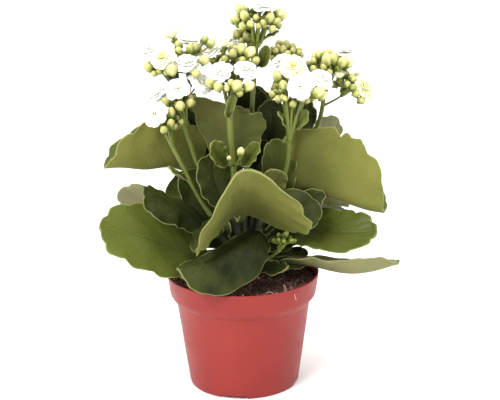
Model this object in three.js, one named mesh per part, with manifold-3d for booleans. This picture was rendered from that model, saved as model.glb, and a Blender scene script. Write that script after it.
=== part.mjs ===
// A potted kalanchoe: a plastic nursery pot filled with potting soil, and one plant in it. The plant is a
// short stem that divides just above the soil into leafy shoots, each of which ends in a bare flower stalk
// with a flat-topped head of buds and double white blooms. Large scalloped leaves stand out from the shoots.
//
// Millimetres, +Z up. The origin is on the pot's axis, in the plane that the pot stands on. The side that
// the plant turns to the viewer faces -Y.
import * as THREE from "three";
import { mergeVertices } from "three/addons/utils/BufferGeometryUtils.js";
import Module from "manifold-3d";

const wasm = await Module();
wasm.setup();

// ---------------------------------------------------------------- driving dimensions
const POT_SIDES = 36;
const POT_OUTSIDE = [[43, 0], [43.6, 2], [52.8, 68.4], [57.2, 73.6], [58, 77], [59.8, 90.3], [59.6, 91]];
const POT_INSIDE = [[58.4, 91], [57, 78], [56.3, 74.6], [51.6, 69.2], [42.6, 4.2]];
const POT_FOOT = { inner: 41.2, recess: 2.4 }; // the ring that it stands on, and the raised floor inside it
const NOTCH = { count: 4, first: -100.5, spread: 29, height: 2.1, depth: 4 }; // gaps in the ring, in degrees
const DRAIN_HOLE = { count: 6, radius: 4, circle: 27 };

const SOIL_SIDES = 20;
const SOIL_LEVEL = 83.6;
const SOIL_RINGS = [47, 36, 24, 12];
const GAP = 0.35; // between pieces that touch on the real plant

const TRUNK = { radius: 5.4, foot: 64, crown: 97 };
const STEM_HOLE = { radius: 5.9, floor: 63.5 };
const SHOOT_EXTRA = 0.5; // how much thicker a leafy shoot is than the flower stalk on it

const LEAF_THICKNESS = { stalk: 3.2, rib: 2.2, margin: 1.3 };
const LEAF_STALK_HALF_WIDTH = 2.2;
const LEAF_STALK_SHARE = 0.2; // of the leaf's whole length
const LEAF_FULLNESS = 0.8; // 1 is an ellipse, and less is squarer
const TEETH_SPAN = 2.45; // scallops run this far round each half of the margin from the tip, in radians
const TOOTH_DEPTH = 0.1; // share of the half width
const FOLD_ROOM = 0.2; // a half blade reaches its slope this far out from the rib, as a share of its width

const BLOOM = { tube: 6, tubeRadius: 1.5, eye: 1.7, petal: 0.75 };
// The whorls of petals of a bloom. "notch" is where two petals part, "low" is the height there, "high" is the
// height of the petals' tips, and "cup" bends them: above 1 they rise late, and below 1 early. A petal that is
// not "round" is cut off straight at its tip.
const OPEN_WHORLS = [
  { petals: 6, notch: 2.9, radius: 10, low: -0.6, high: -1.2, cup: 1.6, round: true },
  { petals: 5, notch: 2.3, radius: 7, low: 0.9, high: 4, cup: 1.3, round: false },
];
const OPENING_WHORLS = [
  { petals: 6, notch: 2.4, radius: 5.6, low: -0.9, high: 4.2, cup: 0.8, round: false },
];
const SHOULDER_TURN = 0.38; // how far to each side a petal is at its widest, in petals
const BLOOM_RADIUS = { open: 10.2, opening: 5.8 };
const CALYX_RADIUS = 2.1;
const BUD = { small: 2.1, large: 3.7, slenderness: 2.5, clearance: 0.4, sides: 4 };
const CROWN = { radius: 4.6, spread: 3, depth: 6 }; // a stem widens to this, and its flowers stand on it
const FLOWER_STALK = { bloom: 0.9, bud: 0.7 };
const GOLDEN_ANGLE = 2.39996;
const BRANCH_RADIUS = 1.6;

const COLOURS = {
  pot: { color: 0xb8504a, roughness: 0.55 },
  soil: { color: 0x2b1d17, roughness: 1 },
  stem: { color: 0x5e6b35, roughness: 0.7 },
  stalk: { color: 0x8f9f3f, roughness: 0.55 },
  leaf: { color: 0x58702f, roughness: 0.5 },
  bloom: { color: 0xf7f5ea, roughness: 0.6 },
};

// ---------------------------------------------------------------- the plant's layout
// Each stem's line, from where it leaves the trunk to its crown. It is a leafy shoot up to "leafy" and a flower
// stalk above that.
const STEMS = {
  centre: { radius: 2.4, leafy: 160,
    line: [[0, 0, 97], [1, 3, 125], [3, 6, 155], [7, 6, 195], [10, 4, 238], [13, 0, 277]] },
  front: { radius: 3.0, leafy: 150,
    line: [[0, 0, 97], [-4, -6, 122], [-5, -11, 152], [-6, -15, 181], [-8, -18, 212], [-7, -18, 236]] },
  left: { radius: 2.1, leafy: 150,
    line: [[0, 0, 97], [-8, -1, 120], [-18, -4, 148], [-31, -9, 175], [-40, -14, 203], [-46, -16, 222]] },
  low_left: { radius: 2.2, leafy: 138,
    line: [[0, 0, 93], [-11, -5, 112], [-20, -7, 132], [-33, -12, 155], [-46, -21, 186], [-56, -27, 209]] },
  back_left: { radius: 2.1, leafy: 172,
    line: [[0, 0, 97], [-7, 8, 124], [-14, 14, 155], [-26, 14, 190], [-40, 6, 222], [-52, -3, 246]] },
  back_centre: { radius: 2.1, leafy: 182,
    line: [[0, 0, 97], [-1, 11, 124], [-4, 20, 156], [-6, 22, 195], [-8, 14, 230], [-8, 4, 250]] },
  back_right: { radius: 2.0, leafy: 188,
    line: [[0, 0, 97], [7, 10, 124], [11, 17, 155], [16, 18, 195], [25, 18, 232], [34, 16, 252]] },
  right: { radius: 2.1, leafy: 160,
    line: [[0, 0, 97], [10, -4, 118], [21, -7, 148], [34, -9, 174], [37, -12, 202], [38, -14, 222]] },
  far_right: { radius: 2.1, leafy: 172,
    line: [[0, 0, 97], [11, 4, 120], [26, 10, 150], [46, 16, 180], [61, 18, 207], [66, 17, 240]] },
  low_right: { radius: 1.4, leafy: 100, line: [[0, 0, 93], [10, -8, 98], [21, -15, 106], [32, -18, 116]] },
};

// How finely a leaf is drawn: "teeth" are the scallops of one half, and "columns" the strips that a half is
// cut into.
const SMALL = { teeth: 3, columns: 1 };
const BRACT = { teeth: 2, columns: 1, stalkHalfWidth: 1.2, fused: true };

// Leaves. "on" and "height" say where the leaf's stalk leaves its stem, and "rib" goes on from there to the
// tip. "up" is the way its upper face looks at the rib. The pairs are for the left and the right half, seen
// from the stem with the upper face up: "slope" is how steeply a half rises from the rib, in degrees, at the
// stalk and at the tip, "curl" is what it gains by its margin, and "sweep" moves the margin along the rib.
const LEAVES = {
  left_upper: { on: "back_left", height: 163, rib: [[-49, 8, 173], [-74, -4, 177], [-104, -18, 181]],
    up: [0, 0.1, 1], halfWidth: [50, 44], slope: [[68, 58], [50, 40]], curl: [12, 10], taper: -0.1,
    sweep: [0, -12] },
  right_upper: { on: "far_right", height: 152, rib: [[52, 2, 155], [83, -8, 147], [109, -16, 142]],
    up: [0.1, 0.1, 1], halfWidth: [36, 60], slope: [[25, 20], [80, 74]], curl: [10, 10], sweep: [0, -8],
    fullness: 0.45, taper: -0.06 },
  front_arch: { on: "front", height: 138, rib: [[2, -30, 150], [4, -54, 172], [6, -74, 192]],
    up: [0, 0.5, 1], halfWidth: [54, 62], slope: [[-22, -30], [-48, -55]], curl: [-8, -8], fullness: 0.7,
    sweep: [-14, -4] },
  front_low: { on: "front", height: 112, rib: [[10, -26, 131], [-17, -47, 120], [-48, -64, 114]],
    up: [0, 0, 1], halfWidth: [31, 7], slope: [[-60, -60], [10, 10]], curl: [-10, 10] },
  left_low: { on: "low_left", height: 104, rib: [[-38, -18, 110], [-72, -34, 130], [-106, -46, 142]],
    up: [0.1, -0.8, 0.7], halfWidth: [30, 26], slope: [[5, 5], [8, 8]], curl: [10, 5] },
  left_middle: { on: "low_left", height: 126, rib: [[-42, -18, 146], [-58, -26, 156], [-74, -32, 168]],
    up: [0, -0.4, 1], halfWidth: [18, 9], slope: [[-45, -35], [10, 10]], curl: [0, 0] },
  left_tip: { on: "back_left", height: 122, rib: [[-46, 4, 134], [-74, -4, 148], [-95, -10, 158]],
    up: [-0.3, 1, 0.3], halfWidth: [11, 12], slope: [[10, 10], [10, 10]], curl: [0, 0], taper: 0.7, ...SMALL },
  left_back: { on: "back_left", height: 138, rib: [[-36, 20, 143], [-48, 24, 148], [-60, 26, 152]],
    up: [0, -1, 0.4], halfWidth: [18, 20], slope: [[0, 0], [0, 0]], curl: [5, 5], ...SMALL },
  centre_left: { on: "front", height: 142, rib: [[-16, -12, 153], [-21, -12, 171], [-22, -12, 190]],
    up: [0.5, -1, 0.3], halfWidth: [16, 16], slope: [[5, 5], [5, 5]], curl: [5, 5] },
  centre_back: { on: "back_centre", height: 158, rib: [[-9, -2, 180], [-9, -5, 204], [-8, -6, 225]],
    up: [0, 1, 0.3], halfWidth: [26, 27], slope: [[0, 0], [0, 0]], curl: [5, 5], taper: 0.4, sweep: [2, 26] },
  back_left_high: { on: "back_left", height: 178, rib: [[-32, 36, 196], [-38, 44, 210], [-42, 46, 222]],
    up: [0.2, -1, 0.3], halfWidth: [16, 16], slope: [[5, 5], [5, 5]], curl: [10, 10], ...SMALL },
  back_high: { on: "back_centre", height: 186, rib: [[2, 36, 202], [10, 42, 216], [13, 44, 230]],
    up: [0, -1, 0.3], halfWidth: [16, 16], slope: [[5, 5], [5, 5]], curl: [10, 10], ...SMALL },
  right_high: { on: "back_right", height: 180, rib: [[35, 29, 196], [45, 35, 209], [53, 36, 222]],
    up: [-0.3, -1, 0.3], halfWidth: [14, 18], slope: [[5, 5], [5, 5]], curl: [10, 10], ...SMALL },
  right_far: { on: "far_right", height: 168, rib: [[60, 38, 182], [69, 46, 191], [76, 50, 203]],
    up: [0, 1, 0.5], halfWidth: [15, 15], slope: [[5, 5], [5, 5]], curl: [5, 5], ...SMALL },
  right_small: { on: "right", height: 153, rib: [[23, -18, 164], [26, -20, 171], [29, -22, 178]],
    up: [0, 1, 0.2], halfWidth: [10, 10], slope: [[5, 5], [5, 5]], curl: [5, 5], ...SMALL },
  right_middle: { on: "right", height: 128, rib: [[36, -20, 147], [46, -29, 148], [54, -35, 136]],
    up: [0.4, -0.8, 0.6], halfWidth: [15, 12], slope: [[10, 10], [-20, -20]], curl: [5, 5], ...SMALL },
  right_under: { on: "far_right", height: 134, rib: [[56, 22, 140], [72, 24, 137], [85, 22, 136]],
    up: [0, 0.3, 1], halfWidth: [18, 16], slope: [[10, 10], [20, 20]], curl: [5, 5], ...SMALL },
  right_low: { on: "right", height: 118, rib: [[46, -4, 125], [76, -24, 128], [102, -34, 133]],
    up: [0, -0.6, 0.8], halfWidth: [21, 20], slope: [[10, 10], [0, 0]], curl: [10, 5] },
  right_long: { on: "far_right", height: 104, rib: [[50, -8, 98], [86, -20, 95], [119, -32, 106]],
    up: [0, 0.1, 1], halfWidth: [24, 24], slope: [[10, 5], [20, 45]], curl: [5, 5] },
  left_front: { on: "front", height: 123, rib: [[-20, -23, 135], [-29, -30, 129], [-36, -36, 118]],
    up: [-0.5, -0.6, 0.6], halfWidth: [10, 12], slope: [[5, 5], [-10, -10]], curl: [0, 0], ...SMALL },
  rear: { on: "back_centre", height: 124, rib: [[0, 46, 134], [3, 70, 134], [4, 92, 124]],
    up: [0, 0, 1], halfWidth: [32, 26], slope: [[10, -10], [10, -10]], curl: [-10, -10] },
  rear_left: { on: "back_left", height: 112, rib: [[-40, 34, 114], [-78, 42, 116], [-117, 40, 114]],
    up: [0, 0, 1], halfWidth: [26, 26], slope: [[20, 10], [20, 10]], curl: [5, 5] },
  rear_right: { on: "back_right", height: 118, rib: [[38, 38, 124], [64, 52, 126], [90, 62, 118]],
    up: [0, 0, 1], halfWidth: [28, 28], slope: [[15, 10], [15, 10]], curl: [-5, -5] },
  rear_right_high: { on: "back_right", height: 148, rib: [[28, 42, 164], [42, 58, 170], [54, 72, 168]],
    up: [0, 0, 1], halfWidth: [22, 22], slope: [[15, 10], [15, 10]], curl: [-5, -5], ...SMALL },
};

// Small leaves in pairs on the flower stalks, written as the large leaves are, and in one piece with the stalk.
const BRACTS = [
  { on: "centre", height: 272, rib: [[19, -3, 275], [24, -4, 277], [30, -5, 280]],
    up: [0, -0.4, 1], halfWidth: [2.2, 2.2], slope: [[10, 10], [10, 10]], curl: [0, 0], ...BRACT },
  { on: "centre", height: 273, rib: [[8, -3, 279], [5, -3, 282], [2, -4, 285]],
    up: [0.3, -0.6, 1], halfWidth: [2.2, 2.2], slope: [[10, 10], [10, 10]], curl: [0, 0], ...BRACT },
  { on: "centre", height: 252, rib: [[17, -3, 257], [19, -4, 263], [21, -5, 270]],
    up: [-0.3, -1, 0.3], halfWidth: [5, 5], slope: [[10, 10], [10, 10]], curl: [0, 0], ...BRACT },
  { on: "front", height: 180, rib: [[-13, -20, 184], [-18, -24, 192], [-21, -26, 202]],
    up: [0.6, -0.8, 0.4], halfWidth: [8, 9], slope: [[10, 10], [10, 10]], curl: [10, 10], ...BRACT },
  { on: "front", height: 180, rib: [[3, -18, 184], [8, -20, 190], [14, -23, 199]],
    up: [-0.6, -0.8, 0.4], halfWidth: [7, 7], slope: [[10, 10], [10, 10]], curl: [10, 10], ...BRACT },
  { on: "right", height: 205, rib: [[43, -14, 211], [47, -16, 217], [50, -18, 223]],
    up: [-0.4, -1, 0.3], halfWidth: [5, 5], slope: [[10, 10], [10, 10]], curl: [0, 0], ...BRACT },
  { on: "right", height: 205, rib: [[33, -14, 211], [31, -16, 216], [28, -17, 222]],
    up: [1, -0.3, 0.3], halfWidth: [3, 3], slope: [[20, 20], [20, 20]], curl: [0, 0], ...BRACT },
  { on: "low_left", height: 166, rib: [[-44, -18, 172], [-50, -22, 176], [-56, -24, 182]],
    up: [0.3, -0.4, 1], halfWidth: [4, 4], slope: [[30, 30], [30, 30]], curl: [0, 0], ...BRACT },
];

// Flower heads. Each stands on the crown of its stem, or on the end of a branch that leaves the stem at the
// first point of "branch". "blooms" and "opening" are the open and half-open flowers, each with the middle of
// its face and the way that the face looks. "ripe" are large buds, each with its middle and radius. Smaller buds
// fill the rest of a dome round the crown, by a rule.
const HEADS = [
  { on: "centre", reach: 18, rise: 20, buds: 8, blooms: [[16, 0, 299, [0.1, -0.1, 1]]], opening: [],
    ripe: [[1, -3, 297, 3.8], [4, -9, 293, 3.7], [23, -9, 291, 3.6], [32, -2, 292, 3.7], [29, 4, 293, 3]] },
  { on: "front", reach: 17, rise: 19, buds: 5, opening: [],
    blooms: [[-15, -24, 254, [-0.4, -0.6, 0.8]], [5, -22, 255, [0.3, -0.4, 0.9]]],
    ripe: [[-22, -32, 247, 3.5], [-2, -36, 246, 4.2], [7, -33, 245, 3.9]] },
  { on: "left", reach: 13, rise: 18, buds: 5, opening: [],
    blooms: [[-46, -28, 243, [-0.1, -0.7, 0.75]], [-29, -17, 245, [0.6, -0.45, 0.65]]],
    ripe: [[-44, -34, 231, 3.8], [-37, -28, 232, 3.4]] },
  { on: "low_left", reach: 12, rise: 16, buds: 4, opening: [],
    blooms: [[-63, -38, 226, [-0.35, -0.85, 0.4]], [-62, -22, 237, [-0.4, -0.3, 0.9]]],
    ripe: [[-51, -33, 226, 3.5], [-51, -37, 219, 3.1], [-56, -42, 215, 3]] },
  { on: "back_left", reach: 18, rise: 19, buds: 6,
    blooms: [[-69, 0, 268, [-0.3, -0.6, 0.75]], [-57, -17, 264, [-0.2, -0.75, 0.65]]],
    opening: [[-50, 4, 276, [-0.3, -0.2, 0.9]]],
    ripe: [[-68, -14, 256, 3.2], [-50, -23, 256, 4]] },
  { on: "back_left", branch: [[-40, 6, 222], [-38, 2, 240], [-38, 2, 254]], reach: 14, rise: 18, buds: 4,
    blooms: [[-38, 11, 271, [0.1, -0.1, 1]], [-40, -12, 259, [0.05, -0.45, 0.9]]], opening: [],
    ripe: [[-37, -2, 268, 3], [-33, -2, 269, 3], [-32, -24, 253, 3.2],
      [-26, -17, 262, 3.6]] },
  { on: "back_centre", reach: 16, rise: 18, buds: 4, blooms: [[-22, 2, 264, [-0.3, -0.2, 0.9]]],
    opening: [[-12, -5, 270, [0, -0.3, 1]]],
    ripe: [[-5, -14, 266, 3], [-11, -15, 262, 2.6], [1, -8, 268, 4.1], [8, -10, 266, 4.2]] },
  { on: "back_centre", branch: [[-8, 18, 222], [0, 20, 245], [4, 20, 262]], reach: 13, rise: 16, buds: 4,
    blooms: [[-9, 19, 270, [0.2, -0.2, 1]]], opening: [], ripe: [[-2, 9, 277, 3.4], [6, 10, 275, 3.9]] },
  { on: "back_right", reach: 14, rise: 15, buds: 8, blooms: [], opening: [], ripe: [] },
  { on: "right", reach: 17, rise: 24, buds: 5, opening: [],
    blooms: [[31, -6, 258, [-0.3, -0.2, 0.95]], [44, -31, 243, [0.1, -0.85, 0.5]],
      [62, -15, 246, [0.5, -0.4, 0.75]], [39, -22, 257, [-0.1, -0.75, 0.65]]],
    ripe: [[28, -21, 250, 4], [32, -27, 244, 3.5], [58, -34, 240, 4.3], [61, -28, 236, 3.5]] },
  { on: "far_right", reach: 15, rise: 19, buds: 6, blooms: [[80, 24, 260, [0.2, 0, 1]]], opening: [],
    ripe: [[66, 6, 257, 4.4]] },
  { on: "far_right", branch: [[65, 18, 219], [75, 15, 225], [83, 14, 231]], reach: 12, rise: 12, buds: 4,
    blooms: [[95, 8, 234, [0.7, -0.5, 0.5]]], opening: [[76, 8, 243, [-0.1, -0.2, 1]]],
    ripe: [[86, 2, 236, 2.6], [92, -1, 226, 2.8]] },
  { on: "low_right", reach: 9, rise: 9, buds: 6, blooms: [], opening: [], ripe: [] },
];

// ---------------------------------------------------------------- numbers and curves
// A repeatable number from 0 to 1 for each pair of whole numbers.
function chance(seed, index) {
  const wave = Math.sin(seed * 12.9898 + index * 78.233) * 43758.5453;
  return wave - Math.floor(wave);
}

function vector(list) {
  return new THREE.Vector3(...list);
}

function smoothLine(points) {
  const places = points.map((point) => (point.isVector3 ? point : vector(point)));
  return new THREE.CatmullRomCurve3(places, false, "catmullrom");
}

function mix(from, to, share) {
  return from + (to - from) * share;
}

// How far along a rising curve a height is reached, as a share of its length.
function shareAtHeight(curve, height) {
  let low = 0;
  let high = 1;
  for (let step = 0; step < 30; step += 1) {
    const middle = (low + high) / 2;
    if (curve.getPointAt(middle).z < height) low = middle;
    else high = middle;
  }
  return low;
}

function partOf(curve, from, to, steps) {
  const points = [];
  for (let step = 0; step <= steps; step += 1) points.push(curve.getPointAt(mix(from, to, step / steps)));
  return smoothLine(points);
}

// ---------------------------------------------------------------- solids
function geometryOf(solid) {
  const mesh = solid.getMesh();
  const geometry = new THREE.BufferGeometry();
  geometry.setAttribute("position", new THREE.BufferAttribute(mesh.vertProperties, 3));
  geometry.setIndex(new THREE.BufferAttribute(mesh.triVerts, 1));
  return geometry;
}

// Turns a closed geometry into a solid. A profile or outline may be drawn either way round: what comes out
// has its faces pointing outward.
function solidOf(geometry) {
  const bare = new THREE.BufferGeometry();
  bare.setAttribute("position", geometry.getAttribute("position"));
  bare.setIndex(geometry.index);
  const merged = mergeVertices(bare, 1e-4);
  const triangles = new Uint32Array(merged.index.array);
  const places = merged.attributes.position;
  const corner = [vector([0, 0, 0]), vector([0, 0, 0]), vector([0, 0, 0])];
  let volume = 0;
  for (let first = 0; first < triangles.length; first += 3) {
    corner.forEach((point, turn) => point.fromBufferAttribute(places, triangles[first + turn]));
    volume += corner[0].dot(corner[1].clone().cross(corner[2])) / 6;
  }
  if (volume < 0) triangles.reverse();
  return new wasm.Manifold(new wasm.Mesh({
    numProp: 3,
    vertProperties: new Float32Array(places.array),
    triVerts: triangles,
  }));
}

function joined(solids) {
  return solids.reduce((whole, next) => whole.add(next));
}

function turnedProfile(points, sides) {
  const profile = points.map(([radius, height]) => new THREE.Vector2(radius, height));
  return new THREE.LatheGeometry(profile, sides).rotateX(Math.PI / 2);
}

function rod(curve, radius, sides, steps) {
  const section = new THREE.Shape();
  for (let side = 0; side < sides; side += 1) {
    const angle = (side / sides) * 2 * Math.PI;
    const corner = [radius * Math.cos(angle), radius * Math.sin(angle)];
    if (side === 0) section.moveTo(...corner);
    else section.lineTo(...corner);
  }
  return solidOf(new THREE.ExtrudeGeometry(section, { steps, extrudePath: curve, curveSegments: 1 }));
}

function straightRod(from, to, radius, sides) {
  return rod(new THREE.LineCurve3(from, to), radius, sides, 1);
}

const facing = (direction) => new THREE.Quaternion().setFromUnitVectors(vector([0, 0, 1]), direction);

// ---------------------------------------------------------------- pot and soil
function potSolid() {
  const base = [[POT_FOOT.inner, 0], ...POT_OUTSIDE];
  const under = [[0, POT_FOOT.recess], [POT_FOOT.inner, POT_FOOT.recess]];
  const inner = [...POT_INSIDE, [0, POT_INSIDE.at(-1)[1]]];
  let pot = solidOf(turnedProfile([...under, ...base, ...inner], POT_SIDES));
  const outer = POT_OUTSIDE[0][0] + 1;
  const inside = POT_FOOT.inner - NOTCH.depth;
  for (let index = 0; index < NOTCH.count; index += 1) {
    const middle = THREE.MathUtils.degToRad(NOTCH.first + (index * 360) / NOTCH.count);
    const half = THREE.MathUtils.degToRad(NOTCH.spread / 2);
    const shape = new THREE.Shape();
    shape.absarc(0, 0, outer, middle - half, middle + half, false);
    shape.absarc(0, 0, inside, middle + half, middle - half, true);
    shape.closePath();
    const depth = NOTCH.height + 1;
    const cutter = new THREE.ExtrudeGeometry(shape, { depth, bevelEnabled: false, curveSegments: 2 });
    pot = pot.subtract(solidOf(cutter.translate(0, 0, -1)));
  }
  for (let index = 0; index < DRAIN_HOLE.count; index += 1) {
    const angle = (index / DRAIN_HOLE.count) * 2 * Math.PI;
    const [x, y] = [DRAIN_HOLE.circle * Math.cos(angle), DRAIN_HOLE.circle * Math.sin(angle)];
    const cutter = new THREE.CylinderGeometry(DRAIN_HOLE.radius, DRAIN_HOLE.radius, 10, 8);
    pot = pot.subtract(solidOf(cutter.rotateX(Math.PI / 2).translate(x, y, 3)));
  }
  return pot;
}

function soilBump(x, y) {
  const broad = 0.9 * Math.sin(x * 0.11 + 1.3) * Math.cos(y * 0.13 - 0.4);
  const fine = 0.5 * Math.sin(x * 0.31 - y * 0.17) + 0.4 * Math.cos(x * 0.23 + y * 0.37);
  return broad + fine;
}

function soilSolid() {
  const wall = POT_INSIDE.slice(1).reverse().map(([radius, height]) => [radius - GAP - 0.1, height]);
  wall[0][1] += GAP;
  const [rimFoot, lip] = [POT_INSIDE[1], POT_INSIDE[0]];
  const edge = mix(rimFoot[0], lip[0], (SOIL_LEVEL - rimFoot[1]) / (lip[1] - rimFoot[1])) - GAP - 0.1;
  const top = [[edge, SOIL_LEVEL], ...SOIL_RINGS.map((radius) => [radius, SOIL_LEVEL]), [0, SOIL_LEVEL]];
  const geometry = turnedProfile([[0, wall[0][1]], ...wall, ...top], SOIL_SIDES);
  const places = geometry.getAttribute("position");
  for (let index = 0; index < places.count; index += 1) {
    const height = places.getZ(index);
    const inner = Math.hypot(places.getX(index), places.getY(index)) < edge - 1;
    if (height > SOIL_LEVEL - 0.1 && inner) {
      places.setZ(index, height + soilBump(places.getX(index), places.getY(index)));
    }
  }
  const hole = new THREE.CylinderGeometry(STEM_HOLE.radius, STEM_HOLE.radius, 60, 12).rotateX(Math.PI / 2);
  hole.translate(0, 0, STEM_HOLE.floor + 30);
  return solidOf(geometry).subtract(solidOf(hole));
}

// ---------------------------------------------------------------- stems
const stemCurves = {};
for (const [name, stem] of Object.entries(STEMS)) stemCurves[name] = smoothLine(stem.line);

function trunkSolid() {
  const { radius, foot, crown } = TRUNK;
  const side = [[radius - 1.2, foot], [radius, foot + 4], [radius, crown - 5], [radius - 1, crown + 2]];
  const profile = [[0, foot], ...side, [0, crown + 5]];
  const parts = [solidOf(turnedProfile(profile, 10))];
  for (const [name, stem] of Object.entries(STEMS)) {
    const curve = stemCurves[name];
    const end = shareAtHeight(curve, stem.leafy);
    const steps = Math.max(2, Math.round((stem.leafy - crown) / 20));
    parts.push(rod(partOf(curve, 0, end, steps), stem.radius + SHOOT_EXTRA, 6, steps));
  }
  return joined(parts);
}

function stalkSolid(name) {
  const stem = STEMS[name];
  const curve = stemCurves[name];
  const start = shareAtHeight(curve, stem.leafy) + GAP / curve.getLength();
  const steps = Math.max(3, Math.round(((1 - start) * curve.getLength()) / 20));
  return rod(partOf(curve, start, 1, steps), stem.radius, 6, steps);
}

// ---------------------------------------------------------------- leaves
// One half of the leaf's flat outline: how far along the rib and how far out from it the margin is, at an
// angle round the blade's middle that is 0 at the tip and 180 degrees at the stalk.
function marginPoint(leaf, side, angle) {
  const tooth = (angle / TEETH_SPAN) * leaf.teeth;
  const depth = TOOTH_DEPTH * mix(0.6, 1.4, chance(leaf.seed + 7 * side, Math.round(tooth)));
  const notch = tooth < leaf.teeth ? 1 - Math.sqrt(Math.abs(Math.cos(Math.PI * tooth))) : 0;
  const scale = 1 - depth * notch;
  const half = (leaf.length - leaf.stalk) / 2;
  const round = Math.sin(angle) ** leaf.fullness * (1 + leaf.taper * Math.cos(angle));
  const along = leaf.length - half + half * scale * Math.cos(angle) + leaf.sweep[side] * Math.sin(angle);
  return { along, across: Math.max(leaf.stalkHalfWidth, leaf.halfWidth[side] * scale * round) };
}

// Bends the flat leaf on to its rib: the place and the upward direction of a point of the flat leaf.
function bentPoint(leaf, side, along, across) {
  const inside = THREE.MathUtils.clamp(along / leaf.length, 0, 1);
  const forward = leaf.curve.getTangentAt(inside);
  const place = leaf.curve.getPointAt(inside).addScaledVector(forward, along - inside * leaf.length);
  const up = vector(leaf.up).lerp(vector(leaf.upTip), inside);
  up.addScaledVector(forward, -up.dot(forward)).normalize();
  const outward = up.clone().cross(forward).multiplyScalar(side === 0 ? 1 : -1);
  const slope = mix(leaf.slope[side][0], leaf.slope[side][1], inside);
  const steps = 12;
  let angle = 0;
  for (let step = 0; step < steps; step += 1) {
    const share = (((step + 0.5) / steps) * across) / leaf.halfWidth[side];
    angle = THREE.MathUtils.degToRad(slope * Math.min(1, share / FOLD_ROOM) + leaf.curl[side] * share);
    place.addScaledVector(outward, (Math.cos(angle) * across) / steps);
    place.addScaledVector(up, (Math.sin(angle) * across) / steps);
  }
  const face = up.multiplyScalar(Math.cos(angle)).addScaledVector(outward, -Math.sin(angle));
  const ripple = leaf.wave[0] * Math.sin(2 * Math.PI * leaf.wave[1] * inside + leaf.wave[2] + 2 * side);
  place.addScaledVector(face, ripple * (across / leaf.halfWidth[side]) ** 2);
  return { place, face };
}

function completeLeaf(seed, given) {
  const stem = STEMS[given.on];
  const stemCurve = stemCurves[given.on];
  const share = shareAtHeight(stemCurve, given.height);
  const middle = stemCurve.getPointAt(share);
  const along = stemCurve.getTangentAt(share);
  const away = vector(given.rib[0]).sub(middle);
  away.addScaledVector(along, -away.dot(along)).normalize();
  const radius = stem.radius + (given.height < stem.leafy ? SHOOT_EXTRA : 0);
  const start = middle.clone().addScaledVector(away, given.fused ? 0.5 : radius + 2 * GAP);
  const bend = given.fused ? [] : [middle.clone().addScaledVector(away, radius + 5)];
  const curve = smoothLine([start, ...bend, ...given.rib]);
  const length = curve.getLength();
  const plain = { teeth: 4, taper: 0.1, sweep: [0, 0], wave: [0, 2, 0], upTip: given.up, columns: 2,
    fullness: LEAF_FULLNESS, stalkHalfWidth: LEAF_STALK_HALF_WIDTH };
  return { ...plain, ...given, seed, curve, length, stalk: LEAF_STALK_SHARE * length };
}

// The rows of a leaf from stalk to tip: the angles round the blade that they meet the margin at.
function leafRows(leaf) {
  const rows = [Math.PI * 0.93, Math.PI * 0.85];
  for (let half = 2 * leaf.teeth; half > 0; half -= 1) rows.push((half / 2 / leaf.teeth) * TEETH_SPAN);
  rows.push((0.12 / leaf.teeth) * TEETH_SPAN);
  return rows;
}

function leafGeometry(leaf) {
  const { columns } = leaf;
  const width = 2 * columns + 1;
  const rows = [];
  for (const share of [0, 0.5]) {
    rows.push(() => ({ along: share * leaf.stalk, across: leaf.stalkHalfWidth, rib: share * leaf.stalk }));
  }
  const half = (leaf.length - leaf.stalk) / 2;
  for (const angle of leafRows(leaf)) {
    const rib = leaf.length - half + half * Math.cos(angle);
    rows.push((side) => ({ ...marginPoint(leaf, side, angle), rib }));
  }
  const upper = [];
  const lower = [];
  for (const row of rows) {
    for (let column = -columns; column <= columns; column += 1) {
      const side = column > 0 ? 0 : 1;
      const share = Math.abs(column) / columns;
      const edge = row(side);
      const point = bentPoint(leaf, side, mix(edge.rib, edge.along, share), edge.across * share);
      const onStalk = Math.max(0, 1 - edge.rib / leaf.stalk);
      const blade = mix(LEAF_THICKNESS.rib, LEAF_THICKNESS.margin, share);
      const thickness = mix(blade, LEAF_THICKNESS.stalk, Math.min(1, 2 * onStalk));
      upper.push(point.place.clone().addScaledVector(point.face, thickness / 2));
      lower.push(point.place.clone().addScaledVector(point.face, -thickness / 2));
    }
  }
  const places = [...upper, ...lower];
  const under = upper.length;
  const triangles = [];
  const at = (row, column) => row * width + column;
  const quad = (a, b, c, d) => triangles.push(a, b, c, a, c, d);
  const last = rows.length - 1;
  for (let row = 0; row < last; row += 1) {
    for (let column = 0; column < width - 1; column += 1) {
      const [a, b] = [at(row, column), at(row + 1, column)];
      const [c, d] = [at(row + 1, column + 1), at(row, column + 1)];
      quad(a, b, c, d);
      triangles.push(under + a, under + c, under + b, under + a, under + d, under + c);
    }
    const [here, next] = [at(row, width - 1), at(row + 1, width - 1)];
    quad(at(row, 0), under + at(row, 0), under + at(row + 1, 0), at(row + 1, 0));
    quad(next, under + next, under + here, here);
  }
  for (let column = 0; column < width - 1; column += 1) {
    quad(at(0, column), at(0, column + 1), under + at(0, column + 1), under + at(0, column));
    quad(at(last, column + 1), at(last, column), under + at(last, column), under + at(last, column + 1));
  }
  const geometry = new THREE.BufferGeometry();
  geometry.setAttribute("position", new THREE.Float32BufferAttribute(places.flatMap((p) => p.toArray()), 3));
  geometry.setIndex(triangles);
  return geometry;
}

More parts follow.
